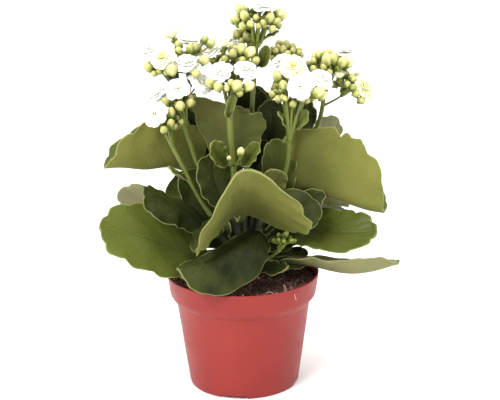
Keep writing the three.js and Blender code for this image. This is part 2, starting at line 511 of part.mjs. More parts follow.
// ---------------------------------------------------------------- flower heads
// Where every bloom and bud of the heads is. The blooms come first, and a bud that would touch a bloom or
// another bud is left out.
function headLayout() {
  const heads = HEADS.map((given, index) => {
    const curve = given.branch ? smoothLine(given.branch) : stemCurves[given.on];
    const crown = curve.getPointAt(1);
    const bloomAt = (opening) => ([x, y, z, look]) => {
      const centre = vector([x, y, z]);
      const face = vector(look).normalize();
      const foot = centre.clone().addScaledVector(face, -(BLOOM.tube + 2 * GAP));
      return { centre, face, foot, opening };
    };
    const blooms = [...given.blooms.map(bloomAt(false)), ...given.opening.map(bloomAt(true))];
    return { ...given, seed: index + 1, curve, crown, blooms };
  });
  const allBlooms = heads.flatMap((head) => head.blooms);
  const ripeBuds = heads.flatMap((head) => head.ripe.map(([x, y, z, radius]) => (
    { middle: vector([x, y, z]), radius, head })));
  const allBuds = [...ripeBuds];
  for (const head of heads) {
    for (let index = 0; index < head.buds; index += 1) {
      const share = Math.sqrt((index + 0.7) / head.buds);
      const angle = GOLDEN_ANGLE * index + head.seed;
      const reach = head.reach * share;
      const rise = head.rise * (1 - 0.5 * share * share) + 2.5 * (chance(head.seed, index) - 0.5);
      const out = vector([reach * Math.cos(angle), reach * Math.sin(angle), rise]);
      const radius = mix(BUD.large, BUD.small, 0.4 * share + 0.6 * chance(head.seed, index + 50));
      const bud = { middle: head.crown.clone().add(out), radius, head };
      const clearBlooms = allBlooms.every((bloom) => clearOfBloom(bud, bloom));
      const clearBuds = allBuds.every((other) => clearOfBud(bud, other));
      if (clearBlooms && clearBuds) allBuds.push(bud);
    }
  }
  return heads.map((head) => ({ ...head, buds: allBuds.filter((bud) => bud.head === head) }));
}

function clearOfBloom(bud, bloom) {
  const offset = bud.middle.clone().sub(bloom.centre);
  const along = offset.dot(bloom.face);
  const across = offset.addScaledVector(bloom.face, -along).length();
  const reach = bud.radius * BUD.slenderness * 0.5 + BUD.clearance;
  const face = BLOOM_RADIUS[bloom.opening ? "opening" : "open"];
  const besideFace = along > -2 - reach && along < 4 + reach && across < face + reach;
  const besideTube = along < 4 && along > -BLOOM.tube - reach && across < CALYX_RADIUS + reach;
  return !besideFace && !besideTube;
}

function clearOfBud(bud, other) {
  const room = other.head === bud.head ? 0.85 : 1.25;
  return bud.middle.distanceTo(other.middle) > room * (bud.radius + other.radius) + BUD.clearance;
}

// A bud with the stalk that it stands on, in one piece, from a point inside the crown.
function budSolid(start, { middle, radius }) {
  const axis = middle.clone().sub(start).normalize();
  const half = (radius * BUD.slenderness) / 2;
  const foot = middle.distanceTo(start) - half;
  const profile = [[0, 0], [FLOWER_STALK.bud, 0], [FLOWER_STALK.bud, foot], [radius, foot + 0.9 * half],
    [0, foot + 2 * half]];
  const bud = turnedProfile(profile, BUD.sides).applyQuaternion(facing(axis));
  return solidOf(bud.translate(...start.toArray()));
}

// A head without its blooms: the widened top of the stem, and the stalks and buds that spread from it.
function headSolids(head) {
  const axis = head.curve.getTangentAt(1);
  const below = head.crown.clone().addScaledVector(axis, -CROWN.depth);
  const narrow = head.branch ? BRANCH_RADIUS : STEMS[head.on].radius;
  const top = turnedProfile([[0, 0], [narrow, 0], [CROWN.radius, CROWN.depth], [0, CROWN.depth]], 6);
  const solids = [solidOf(top.applyQuaternion(facing(axis)).translate(...below.toArray()))];
  if (head.branch) solids.push(rod(head.curve, BRANCH_RADIUS, 5, 3));
  const startFor = (end) => {
    const side = end.clone().sub(head.crown);
    side.addScaledVector(axis, -side.dot(axis));
    const start = head.crown.clone().addScaledVector(axis, -1);
    return start.addScaledVector(side, CROWN.spread / Math.max(head.reach, side.length()));
  };
  for (const bud of head.buds) solids.push(budSolid(startFor(bud.middle), bud));
  for (const { foot } of head.blooms) solids.push(straightRod(startFor(foot), foot, FLOWER_STALK.bloom, 3));
  return solids;
}

// One whorl of petals in one piece: a thin lobed disc, bent into a shallow cup.
function whorlSolid(whorl, seed) {
  const shape = new THREE.Shape();
  const step = (2 * Math.PI) / whorl.petals;
  const shoulder = (whorl.round ? 0.8 : 0.95) * whorl.radius;
  const tip = whorl.round ? [[whorl.radius, 0]] : [];
  const corners = [[whorl.notch, -0.5], [shoulder, -SHOULDER_TURN], ...tip, [shoulder, SHOULDER_TURN]];
  for (let petal = 0; petal < whorl.petals; petal += 1) {
    const size = mix(0.92, 1, chance(seed, petal));
    corners.forEach(([radius, turn], index) => {
      const angle = (petal + turn + 0.1 * chance(seed, 10)) * step;
      const reach = index === 0 ? radius : radius * size;
      const corner = [reach * Math.cos(angle), reach * Math.sin(angle)];
      if (petal === 0 && index === 0) shape.moveTo(...corner);
      else shape.lineTo(...corner);
    });
  }
  const geometry = new THREE.ExtrudeGeometry(shape, { depth: BLOOM.petal, bevelEnabled: false });
  const places = geometry.getAttribute("position");
  for (let index = 0; index < places.count; index += 1) {
    const radius = Math.hypot(places.getX(index), places.getY(index));
    const share = Math.max(0, (radius - whorl.notch) / (whorl.radius - whorl.notch));
    places.setZ(index, places.getZ(index) + mix(whorl.low, whorl.high, share ** whorl.cup));
  }
  return solidOf(geometry);
}

// A bloom with its face at z = 0, looking up.
function bloomSolid(seed, opening) {
  const { tube, tubeRadius, eye } = BLOOM;
  const profile = [[0, -tube], [tubeRadius, -tube], [eye, 1.9], [0, 2.9]];
  const whorls = opening ? OPENING_WHORLS : OPEN_WHORLS;
  const petals = whorls.map((whorl, order) => whorlSolid(whorl, seed + order));
  return joined([solidOf(turnedProfile(profile, 5)), ...petals]);
}

// ---------------------------------------------------------------- the whole plant in its pot
const plant = new THREE.Group();

function addPiece(name, colour, geometry) {
  const mesh = new THREE.Mesh(geometry, new THREE.MeshStandardMaterial({ ...COLOURS[colour], metalness: 0 }));
  mesh.name = name;
  plant.add(mesh);
  return mesh;
}

addPiece("pot", "pot", geometryOf(potSolid()));
addPiece("soil", "soil", geometryOf(soilSolid()));
addPiece("shoots", "stem", geometryOf(trunkSolid()));

const heads = headLayout();
for (const name of Object.keys(STEMS)) {
  const onStem = heads.filter((head) => head.on === name);
  const bracts = BRACTS.filter((bract) => bract.on === name);
  const bractSolids = bracts.map((bract, index) => solidOf(leafGeometry(completeLeaf(index + 40, bract))));
  const stalk = joined([stalkSolid(name), ...onStem.flatMap(headSolids), ...bractSolids]);
  addPiece(`stalk_${name}`, "stalk", geometryOf(stalk));
  onStem.flatMap((head) => head.blooms).forEach((bloom, index) => {
    const solid = bloomSolid(bloom.centre.x + bloom.centre.y, bloom.opening);
    const mesh = addPiece(`bloom_${name}_${index + 1}`, "bloom", geometryOf(solid));
    mesh.position.copy(bloom.centre);
    mesh.quaternion.copy(facing(bloom.face));
  });
}

Object.entries(LEAVES).forEach(([name, given], index) => {
  addPiece(`leaf_${name}`, "leaf", leafGeometry(completeLeaf(index + 1, given)));
});

export default plant;
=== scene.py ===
# %% [markdown]
# # A kalanchoe in its nursery pot
#
# The real thing is a florist's plant. Thick leaves with scalloped margins stand round a few bare flower stalks,
# and every stalk ends in a dense head of buds and double white flowers. It grows in peat, in a thin plastic pot.
#
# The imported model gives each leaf, stalk, flower and the pot as a plain faceted solid. This lesson grows a finer
# piece in the place of each one. Leaves could be modelled by hand with a subdivision cage, but there are many, and
# all of them follow one rule: a flat scalloped outline that is folded along a curved rib. So they are made from
# numbers, with numpy, and that keeps them exactly where the solids are.

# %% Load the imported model
import math

import bpy
import numpy as np
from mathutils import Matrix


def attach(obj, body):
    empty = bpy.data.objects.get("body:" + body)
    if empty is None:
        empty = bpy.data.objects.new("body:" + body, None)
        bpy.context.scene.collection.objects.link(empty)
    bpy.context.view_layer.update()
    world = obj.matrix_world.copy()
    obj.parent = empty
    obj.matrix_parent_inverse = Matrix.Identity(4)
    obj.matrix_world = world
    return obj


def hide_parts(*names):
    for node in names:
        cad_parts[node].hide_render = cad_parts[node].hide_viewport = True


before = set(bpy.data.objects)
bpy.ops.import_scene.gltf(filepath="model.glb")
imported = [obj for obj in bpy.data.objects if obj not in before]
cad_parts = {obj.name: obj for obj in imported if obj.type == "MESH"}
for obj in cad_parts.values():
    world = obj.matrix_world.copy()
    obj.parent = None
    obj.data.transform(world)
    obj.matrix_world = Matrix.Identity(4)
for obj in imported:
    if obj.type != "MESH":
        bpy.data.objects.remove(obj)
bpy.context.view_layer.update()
MM = 0.001

# %% [markdown]
# ## The camera
#
# The photograph was taken from a little above the pot, with a long lens, so the pot's sides hardly converge. A
# camera could be placed by eye, but a long lens needs the right distance as well: too near, and the front leaves
# grow. The numbers here come from lining up the pot's rim and foot with the picture.

# %% Camera
PITCH = math.radians(16.1)
ROLL = math.radians(-0.75)
LENS_MM = 92.7
CAMERA_PLACE = (0.0063, -0.9608, 0.4258)
lens = bpy.data.cameras.new("photo_lens")
lens.lens = LENS_MM
lens.sensor_width = 36
camera = bpy.data.objects.new("photo_camera", lens)
bpy.context.scene.collection.objects.link(camera)
camera.location = CAMERA_PLACE
camera.rotation_mode = "ZYX"
camera.rotation_euler = (math.pi / 2 - PITCH, 0, ROLL)
bpy.context.scene.camera = camera
print("camera at", tuple(round(part, 3) for part in camera.location))

# %% [markdown]
# ## Shader helpers
#
# A material is a small graph of nodes. Written out one by one, nine materials would fill pages, so these helpers
# make a node, join it to others and mix colours. Each finish below is then a few readable lines.


# %% Shader helpers
def linear(red, green, blue):
    """The linear colour that a shader needs, from the 0 to 255 numbers of a colour picker."""
    return tuple(((part / 255 + 0.055) / 1.055) ** 2.4 for part in (red, green, blue)) + (1,)


class Finish:
    """A material with one Principled shader, and short ways to add nodes to it."""

    def __init__(self, name, **sockets):
        self.material = bpy.data.materials.new(name)
        self.material.use_nodes = True
        self.tree = self.material.node_tree
        self.shader = self.tree.nodes["Principled BSDF"]
        for socket, value in sockets.items():
            self.shader.inputs[socket.replace("_", " ")].default_value = value

    def node(self, kind, inputs=(), **settings):
        made = self.tree.nodes.new(kind)
        for setting, value in settings.items():
            setattr(made, setting, value)
        for socket, value in dict(inputs).items():
            self.feed(made.inputs[socket], value)
        return made

    def feed(self, socket, value):
        if isinstance(value, bpy.types.NodeSocket):
            self.tree.links.new(value, socket)
        else:
            socket.default_value = value

    def math(self, operation, first, second=0.0):
        return self.node("ShaderNodeMath", {0: first, 1: second}, operation=operation).outputs[0]

    def plus(self, first, second):
        return self.math("ADD", first, second)

    def minus(self, first, second):
        return self.math("SUBTRACT", first, second)

    def times(self, first, second):
        return self.math("MULTIPLY", first, second)

    def blend(self, share, first, second):
        return self.node("ShaderNodeMix", {0: share, 6: first, 7: second}, data_type="RGBA").outputs[2]

    def noise(self, scale, detail=3.0, roughness=0.55):
        place = self.node("ShaderNodeTexCoord").outputs["Object"]
        inputs = {"Vector": place, "Scale": scale, "Detail": detail, "Roughness": roughness}
        return self.node("ShaderNodeTexNoise", inputs).outputs[0]

    def net(self, scale):
        """How far a place is from the walls of irregular cells."""
        inputs = {"Vector": self.node("ShaderNodeTexCoord").outputs["Object"], "Scale": scale}
        return self.node("ShaderNodeTexVoronoi", inputs, feature="DISTANCE_TO_EDGE").outputs[0]

    def steps(self, value, low, high, to_low=0.0, to_high=1.0):
        """A soft step: to_low where the value is below low, to_high where it is above high."""
        inputs = {0: value, 1: low, 2: high, 3: to_low, 4: to_high}
        return self.node("ShaderNodeMapRange", inputs, interpolation_type="SMOOTHSTEP").outputs[0]

    def marks(self):
        """The three numbers that each point of a mesh carries."""
        mark = self.node("ShaderNodeAttribute", attribute_name="marks")
        return self.node("ShaderNodeSeparateColor", {0: mark.outputs["Color"]}).outputs[0:3]

    def relief(self, height, depth_mm, strength=1.0):
        bump = self.node("ShaderNodeBump", {"Height": height, "Distance": depth_mm * MM, "Strength": strength})
        self.feed(self.shader.inputs["Normal"], bump.outputs[0])

    def colour(self, socket):
        self.feed(self.shader.inputs["Base Color"], socket)

    def roughness(self, socket):
        self.feed(self.shader.inputs["Roughness"], socket)


# %% [markdown]
# ## Mesh helpers
#
# All shapes below are grids of points: a tube is rows of rings, a leaf is rows across a rib. One function joins
# neighbouring rows with four-sided faces, and a class gathers points until they become one Blender mesh. Every
# point also carries three marks, kept as a colour, that tell a finish where it is. On a leaf they say upper or
# under side, how near the margin is, and how light this one leaf is. A leaf's points carry their flat place as well,
# as a UV map.


# %% Mesh helpers
def unit(vectors):
    return vectors / np.maximum(np.linalg.norm(vectors, axis=-1, keepdims=True), 1e-12)


def square_to(axis):
    """Two directions square to an axis and to each other."""
    helper = np.array([0.0, 0.0, 1.0]) if abs(axis[2]) < 0.9 else np.array([1.0, 0.0, 0.0])
    side = unit(np.cross(helper, axis))
    return side, np.cross(axis, side)


def full_turn(sides):
    """Angles for the points of a ring."""
    return np.linspace(0, 2 * math.pi, sides, endpoint=False)


def spoke(angle, side, other):
    """The direction at an angle between two directions, or one for each of many angles."""
    return np.cos(angle)[..., None] * side + np.sin(angle)[..., None] * other


def grid_faces(rows, columns, around=False):
    """Four-sided faces between the rows of a grid. With around, the last column joins the first."""
    row, column = np.meshgrid(np.arange(rows - 1), np.arange(columns if around else columns - 1), indexing="ij")
    after = (column + 1) % columns
    here, above = row * columns, (row + 1) * columns
    return np.stack([here + column, here + after, above + after, above + column], -1).reshape(-1, 4)


def signed_volume(points, faces):
    """The volume inside a closed skin: below zero if its faces look inward."""
    corners = points[faces]
    turns = range(1, faces.shape[1] - 1)
    return sum(np.sum(corners[:, 0] * np.cross(corners[:, k], corners[:, k + 1])) for k in turns)


PLAIN = (0, 0, 0.5)


class Sheet:
    """Points, faces and marks that are gathered for one mesh. Each skin that is added has to be closed."""

    def __init__(self):
        self.points, self.marks, self.places, self.faces = [], [], [], []
        self.count = 0

    def add(self, points, faces, marks, places=None):
        points = np.asarray(points, float).reshape(-1, 3)
        self.points.append(points)
        self.marks.append(np.broadcast_to(np.asarray(marks, float), (len(points), 3)))
        self.places.append(np.zeros((len(points), 2)) if places is None else places.reshape(-1, 2))
        volume = sum(signed_volume(points, np.asarray(group)) for group in faces)
        for group in faces:
            turned = np.asarray(group)[:, ::-1] if volume < 0 else np.asarray(group)
            self.faces.extend((turned + self.count).tolist())
        self.count += len(points)

    def add_rings(self, rings, marks, tips):
        """A closed skin of rings, with a point at each end. rings is rows x sides x 3, tips is the two ends."""
        rows, sides = rings.shape[:2]
        here = np.arange(sides)
        after = (here + 1) % sides
        top = (rows - 1) * sides
        first, last = np.full(sides, rows * sides), np.full(sides, rows * sides + 1)
        caps = [np.stack([after, here, first], -1), np.stack([top + here, top + after, last], -1)]
        points = np.vstack([rings.reshape(-1, 3), tips])
        marks = np.asarray(marks, float)
        marks = marks[:, None] if marks.ndim == 2 else marks
        marks = np.broadcast_to(marks, (rows, sides, 3)).reshape(-1, 3)
        self.add(points, [grid_faces(rows, sides, around=True), *caps], np.vstack([marks, marks[0], marks[-1]]))

    def add_slab(self, upper, lower, marks, places=None):
        """A thin closed skin: two grids of points, joined by a wall round their edges."""
        rows, columns = upper.shape[:2]
        grid, under = grid_faces(rows, columns), rows * columns
        edge = np.concatenate([np.arange(columns), np.arange(1, rows) * columns + columns - 1,
                               (rows - 1) * columns + np.arange(columns - 2, -1, -1),
                               np.arange(rows - 2, 0, -1) * columns])
        after = np.roll(edge, -1)
        wall = np.stack([after, edge, edge + under, after + under], -1)
        marks = np.stack(marks).reshape(-1, 3)
        self.add(np.stack([upper, lower]), [grid, grid[:, ::-1] + under, wall], marks, places)

    def finish(self, name, finish, slot, *nodes):
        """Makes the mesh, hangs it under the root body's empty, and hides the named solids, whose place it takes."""
        mesh = bpy.data.meshes.new(name)
        mesh.from_pydata((np.concatenate(self.points) * MM).tolist(), [], self.faces)
        marks = np.concatenate(self.marks)
        colours = mesh.color_attributes.new("marks", "FLOAT_COLOR", "POINT")
        colours.data.foreach_set("color", np.hstack([marks, np.ones((len(marks), 1))]).ravel())
        vertex = np.zeros(len(mesh.loops), int)
        mesh.loops.foreach_get("vertex_index", vertex)
        mesh.uv_layers.new(name="UVMap").data.foreach_set("uv", np.concatenate(self.places)[vertex].ravel())
        mesh.shade_smooth()
        mesh.materials.append(finish.material)
        mesh.update()
        piece = bpy.data.objects.new(name, mesh)
        bpy.context.scene.collection.objects.link(piece)
        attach(piece, "root")
        if nodes:
            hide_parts(*nodes)


# %% [markdown]
# ## Curves and tubes
#
# Every stem and rib is a Catmull-Rom curve: it passes through each of its points, so a point can be read off the
# plant and typed in. A Blender curve object would do as well, but a leaf also needs the curve's direction at many
# places at once, and that is easier to get from a formula.


# %% Curves and tubes
class SmoothLine:
    """A curve through points, read by its share of the whole length."""

    def __init__(self, points):
        points = np.array(points, float)
        self.points = np.vstack([2 * points[0] - points[1], points, 2 * points[-1] - points[-2]])
        self.grid = np.linspace(0, 1, 201)
        spans = np.linalg.norm(np.diff(self.at(self.grid), axis=0), axis=1)
        self.run = np.concatenate([[0], np.cumsum(spans)])
        self.length = self.run[-1]

    def at(self, step):
        spans = len(self.points) - 3
        place = np.clip(step, 0, 1) * spans
        index = np.minimum(place.astype(int), spans - 1)
        part = (place - index)[..., None]
        before, start, end, after = (self.points[index + shift] for shift in range(4))
        leaving, arriving = (end - before) / 2, (after - start) / 2
        square = 3 * (end - start) - 2 * leaving - arriving
        cube = 2 * (start - end) + leaving + arriving
        return start + part * (leaving + part * (square + part * cube))

    def step(self, share):
        return np.interp(np.asarray(share, float) * self.length, self.run, self.grid)

    def point(self, share):
        return self.at(self.step(share))

    def direction(self, share):
        step = self.step(share)
        return unit(self.at(np.minimum(step + 1e-4, 1)) - self.at(np.maximum(step - 1e-4, 0)))

    def share_at_height(self, height):
        shares = np.linspace(0, 1, 400)
        return float(np.interp(height, self.point(shares)[:, 2], shares))


def add_tube(sheet, line, radius, marks=PLAIN, rows=12, sides=12, start=0.0, end=1.0, ribs=0.0):
    """A round stem along a line. radius may be one number, or one for each row."""
    shares = np.linspace(start, end, rows)
    centres, along = line.point(shares), line.direction(shares)
    radii = np.broadcast_to(np.asarray(radius, float), (rows,))
    angles = full_turn(sides)
    ring = 1 + ribs * np.cos(5 * angles)
    side = square_to(along[0])[0]
    rings = []
    for row in range(rows):
        side = unit(side - along[row] * side.dot(along[row]))
        reach = (radii[row] * ring)[:, None]
        rings.append(centres[row] + reach * spoke(angles, side, np.cross(along[row], side)))
    tips = [centres[0] - along[0] * radii[0] * 0.3, centres[-1] + along[-1] * radii[-1] * 0.3]
    sheet.add_rings(np.array(rings), marks, tips)


# %% [markdown]
# ## The pot
#
# A nursery pot is blown or moulded in thin plastic: a tapered body, a shoulder, and a deeper band at the rim that
# gives it stiffness. It is a turned shape, so a profile spun round the axis makes it, as a lathe would. The foot
# ring has four gaps that let water out from under the pot, and there the lowest points are lifted, so no cutting is
# needed. Blender's Screw modifier spins a profile as well, but it can't lift only a part of the ring.

# %% Pot shape
POT_OUTSIDE = [(36.0, 2.6), (40.6, 2.4), (41.2, 0.3), (41.6, 0.0), (42.7, 0.0), (43.1, 0.4), (43.6, 2.0),
               (43.9, 4.2), (46.2, 20.4), (48.4, 36.6), (50.6, 52.8), (52.7, 67.9), (53.0, 68.6), (53.8, 69.6),
               (55.6, 71.6), (57.0, 73.4), (57.6, 75.0), (58.0, 77.5), (58.9, 84.0), (59.7, 89.6), (59.8, 90.4),
               (59.6, 90.8), (59.2, 91.0)]
POT_INSIDE = [(58.9, 90.8), (58.6, 90.2), (57.9, 84.0), (57.0, 78.0), (56.3, 74.6), (53.6, 71.2), (51.6, 69.0),
              (47.2, 38.0), (42.8, 5.4), (41.6, 4.4), (36.0, 4.2)]
POT_SIDES = 180
NOTCH_FIRST, NOTCH_SPACING = -100.5, 90
NOTCH_HALF_SPREAD, NOTCH_EDGE = 14.5, 1.2
NOTCH_HEIGHT = 2.1
FOOT_INSIDE = 41
FLOOR_UNDER, FLOOR_TOP = 2.6, 4.2


def notch_lift(angle, radius, height):
    """How far a point of the foot ring is raised: by the notch's height inside a gap, and not at all outside."""
    half = NOTCH_SPACING / 2
    off = (np.degrees(angle) - NOTCH_FIRST + half) % NOTCH_SPACING - half
    inside = np.clip((NOTCH_HALF_SPREAD - np.abs(off)) / NOTCH_EDGE, 0, 1)
    in_foot = (radius > FOOT_INSIDE) & (height < NOTCH_HEIGHT)
    return np.where(in_foot, (NOTCH_HEIGHT - height) * inside, 0)


def turned_rings(profile):
    angles = full_turn(POT_SIDES)
    radius, height = np.array(profile).T[..., None]
    heights = height + notch_lift(angles, radius, height)
    return np.stack([radius * np.cos(angles), radius * np.sin(angles), heights], -1)


# %% [markdown]
# The plastic is a dull brick red with a soft shine. It isn't quite even: moulded plastic clouds a little, handling
# leaves faint scuffs, and some peat dust clings at the foot.

# %% Pot finish
pot_plastic = Finish("pot_plastic", Roughness=0.42, IOR=1.47, Specular_IOR_Level=0.3)
cloud = pot_plastic.steps(pot_plastic.noise(22, 4), 0.3, 0.7)
red = pot_plastic.blend(cloud, linear(143, 43, 38), linear(134, 39, 35))
scuff = pot_plastic.steps(pot_plastic.noise(260, 5, 0.75), 0.62, 0.78, 0, 0.22)
red = pot_plastic.blend(scuff, red, linear(160, 74, 66))
DUST_TOP = 16 * MM
place = pot_plastic.node("ShaderNodeSeparateXYZ", {0: pot_plastic.node("ShaderNodeTexCoord").outputs["Object"]})
low = pot_plastic.steps(place.outputs[2], 0.0, DUST_TOP, 0.35, 0.0)
dust = pot_plastic.times(low, pot_plastic.steps(pot_plastic.noise(160, 6, 0.7), 0.45, 0.7))
pot_plastic.colour(pot_plastic.blend(dust, red, linear(104, 56, 46)))
pot_plastic.roughness(pot_plastic.steps(pot_plastic.noise(120, 4), 0.3, 0.7, 0.38, 0.5))
pot_plastic.relief(pot_plastic.noise(900, 3), 0.05, 0.5)

# %% Pot
pot_sheet = Sheet()
pot_rings = turned_rings(POT_OUTSIDE + POT_INSIDE)
pot_sheet.add_rings(pot_rings, PLAIN, [(0, 0, FLOOR_UNDER), (0, 0, FLOOR_TOP)])
pot_sheet.finish("nursery_pot", pot_plastic, "pot_plastic", "pot")
print("pot points:", pot_sheet.count)

# %% [markdown]
# ## Potting soil
#
# The peat is nearly black, with crumbs, short fibres, and a few pale specks. Its surface is a bumpy disc that
# goes down inside the pot. A bump in the material alone would look painted from this near, so thousands of small
# crumbs lie on the disc, each a rough lump of twenty points, all in one mesh.

# %% Soil block
SOIL_LEVEL = 83.6
SOIL_FOOT = 4.8
SOIL_SIDES = 96
SOIL_WALL = [(42.1, SOIL_FOOT), (46.7, 38.0), (51.1, 69.0), (55.8, 74.9), (56.5, 78.0), (57.3, 83.2)]
SOIL_TOP_RADII = [57.1, 55.5, 52, 48.5, 45, 41.5, 38, 34.5, 31, 27.5, 24, 20.5, 17, 13.5, 10, 7.5]
rng = np.random.default_rng(4387)


def soil_height(x, y):
    """The same bumps as the solid's, with finer lumps on top."""
    broad = 0.9 * np.sin(x * 0.11 + 1.3) * np.cos(y * 0.13 - 0.4)
    fine = 0.5 * np.sin(x * 0.31 - y * 0.17) + 0.4 * np.cos(x * 0.23 + y * 0.37)
    lumps = 0.35 * np.sin(x * 0.9 + 0.7 * np.sin(y * 0.8)) * np.cos(y * 1.1 + 0.9 * np.sin(x * 0.6))
    return SOIL_LEVEL + broad + fine + lumps


def soil_rings():
    """Rings up the wall of the pot, and then inwards over the bumpy surface."""
    angles = full_turn(SOIL_SIDES)
    rings = [np.stack([radius * np.cos(angles), radius * np.sin(angles), np.full(SOIL_SIDES, height)], -1)
             for radius, height in SOIL_WALL]
    for radius in SOIL_TOP_RADII:
        x, y = radius * np.cos(angles), radius * np.sin(angles)
        rings.append(np.stack([x, y, soil_height(x, y)], -1))
    return np.array(rings)


peat = Finish("peat", Roughness=0.95)
peat_marks = peat.marks()
dark = peat.blend(peat.steps(peat.noise(420, 5, 0.7), 0.35, 0.7), linear(28, 16, 12), linear(84, 52, 42))
dark = peat.blend(peat_marks[0], dark, linear(146, 98, 82))
peat.colour(peat.blend(peat_marks[1], dark, linear(222, 190, 176)))
peat.relief(peat.noise(700, 6, 0.8), 0.8)

# %% Soil with crumbs
soil_sheet = Sheet()
soil_sheet.add_rings(soil_rings(), PLAIN, [(0, 0, SOIL_FOOT), (0, 0, SOIL_LEVEL + 0.6)])
CRUMBS, CRUMB_REACH = 2600, 56.4
LUMP = np.array([(1, 0, 0), (0.5, 0.87, 0), (-0.5, 0.87, 0), (-1, 0, 0), (-0.5, -0.87, 0), (0.5, -0.87, 0)], float)
LUMP_LAYERS = ((-0.5, 0.6), (0.1, 1.0), (0.6, 0.6))


def random_place(reach, nearest):
    """A random place on the soil's surface."""
    out, turn = reach * math.sqrt(rng.uniform(nearest, 1)), rng.uniform(0, 2 * math.pi)
    return np.array([out * math.cos(turn), out * math.sin(turn)])


def add_crumb(sheet, centre, size, marks):
    """A rough lump of three uneven rings of six points."""
    rings = []
    for height, reach in LUMP_LAYERS:
        jitter = rng.uniform(0.7, 1.3, (6, 1))
        rings.append(LUMP * reach * jitter + (0, 0, height))
    stretch = rng.uniform(0.6, 1.3, 3) * size
    turn = rng.uniform(0, 2 * math.pi)
    spin = np.array([[math.cos(turn), -math.sin(turn), 0], [math.sin(turn), math.cos(turn), 0], [0, 0, 1]])
    rings = (np.array(rings) * stretch) @ spin.T + centre
    sheet.add_rings(rings, marks, [centre - (0, 0, 0.7 * size), centre + (0, 0, 0.8 * size)])


for _ in range(CRUMBS):
    x, y = random_place(CRUMB_REACH, 0.02)
    size = rng.uniform(0.35, 1.25) if rng.random() < 0.9 else rng.uniform(1.2, 2.1)
    pale = rng.random()
    tone = (rng.uniform(0, 0.5) if pale < 0.9 else rng.uniform(0.5, 1), 0.8 if pale > 0.97 else 0, 0.5)
    add_crumb(soil_sheet, np.array([x, y, float(soil_height(x, y)) + 0.3 * size]), size, tone)
soil_sheet.finish("potting_soil", peat, "potting_soil", "soil")
print("soil points:", soil_sheet.count)

# %% [markdown]
# Fibres of the peat and a few dry roots stick out of the surface and loop over it. They are thin tubes along short
# random curves. Near the front, four pale roots stand up, as on the real plant.

# %% Fibres
fibre_finish = Finish("dry_fibre", Roughness=0.8)
fibre_marks = fibre_finish.marks()
fibre_finish.colour(fibre_finish.blend(fibre_marks[0], linear(70, 46, 34), linear(206, 178, 160)))
fibre_finish.relief(fibre_finish.noise(1500, 3), 0.05)
FIBRES, FIBRE_REACH, FIBRE_LIMIT = 240, 53, 55
fibre_sheet = Sheet()
for _ in range(FIBRES):
    foot = random_place(FIBRE_REACH, 0.05)
    heading = rng.uniform(0, 2 * math.pi)
    length = rng.uniform(3, 9)
    path = []
    for step in range(4):
        foot_height = float(soil_height(*foot))
        path.append((foot[0], foot[1], foot_height + (rng.uniform(0.3, 2.2) if 0 < step < 3 else -0.2)))
        heading += rng.uniform(-0.8, 0.8)
        foot = foot + length / 3 * np.array([math.cos(heading), math.sin(heading)])
        foot *= min(1, FIBRE_LIMIT / np.linalg.norm(foot))
    add_tube(fibre_sheet, SmoothLine(path), rng.uniform(0.08, 0.2), (rng.uniform(0, 0.7), 0, 0.5), rows=8, sides=5)
PALE_ROOTS = [[(32, -34, 83), (31, -38, 91), (32, -42, 92), (34, -46, 85)],
              [(16, -38, 83), (19, -43, 88), (23, -47, 88), (25, -52, 84)],
              [(38, -30, 83), (40, -38, 86), (39, -44, 87), (40, -50, 84)],
              [(6, -52, 84), (4, -56, 88), (1, -58, 89.5), (0, -56, 91)]]
for path in PALE_ROOTS:
    add_tube(fibre_sheet, SmoothLine(path), 0.22, (1, 0, 0.5), rows=16, sides=6)
fibre_sheet.finish("soil_fibres", fibre_finish, "potting_soil", "soil")
print("fibre points:", fibre_sheet.count)

# %% [markdown]
# ## Stems
#
# From a short trunk in the soil, leafy shoots rise and spread, and above its last leaves each one goes on as a
# bare flower stalk. The shoots are darker and a little ribbed, and the stalks are pale yellow-green and smooth. A
# tube along each stem's curve makes both. Real stems swell a little where leaves sit, so the radius isn't even.

# %% Stem lines
# Each row: the stalk's radius, the height of the last leaf, and the curve from the trunk to the flower head.
STEMS = {
    "centre": (2.4, 160, [(0, 0, 97), (1, 3, 125), (3, 6, 155), (7, 6, 195), (10, 4, 238), (13, 0, 277)]),
    "front": (3.0, 150, [(0, 0, 97), (-4, -6, 122), (-5, -11, 152), (-6, -15, 181), (-8, -18, 212), (-7, -18, 236)]),
    "left": (2.1, 150, [(0, 0, 97), (-8, -1, 120), (-18, -4, 148), (-31, -9, 175), (-40, -14, 203),
                        (-46, -16, 222)]),
    "low_left": (2.2, 138, [(0, 0, 93), (-11, -5, 112), (-20, -7, 132), (-33, -12, 155), (-46, -21, 186),
                            (-56, -27, 209)]),
    "back_left": (2.1, 172, [(0, 0, 97), (-7, 8, 124), (-14, 14, 155), (-26, 14, 190), (-40, 6, 222),
                             (-52, -3, 246)]),
    "back_centre": (2.1, 182, [(0, 0, 97), (-1, 11, 124), (-4, 20, 156), (-6, 22, 195), (-8, 14, 230),
                               (-8, 4, 250)]),
    "back_right": (2.0, 188, [(0, 0, 97), (7, 10, 124), (11, 17, 155), (16, 18, 195), (25, 18, 232),
                              (34, 16, 252)]),
    "right": (2.1, 160, [(0, 0, 97), (10, -4, 118), (21, -7, 148), (34, -9, 174), (37, -12, 202), (38, -14, 222)]),
    "far_right": (2.1, 172, [(0, 0, 97), (11, 4, 120), (26, 10, 150), (46, 16, 180), (61, 18, 207),
                             (66, 17, 240)]),
    "low_right": (1.4, 100, [(0, 0, 93), (10, -8, 98), (21, -15, 106), (32, -18, 116)]),
}
SHOOT_EXTRA = 0.5
stem_lines = {name: SmoothLine(points) for name, (_, _, points) in STEMS.items()}
print("stem lengths:", {name: round(line.length) for name, line in stem_lines.items()})

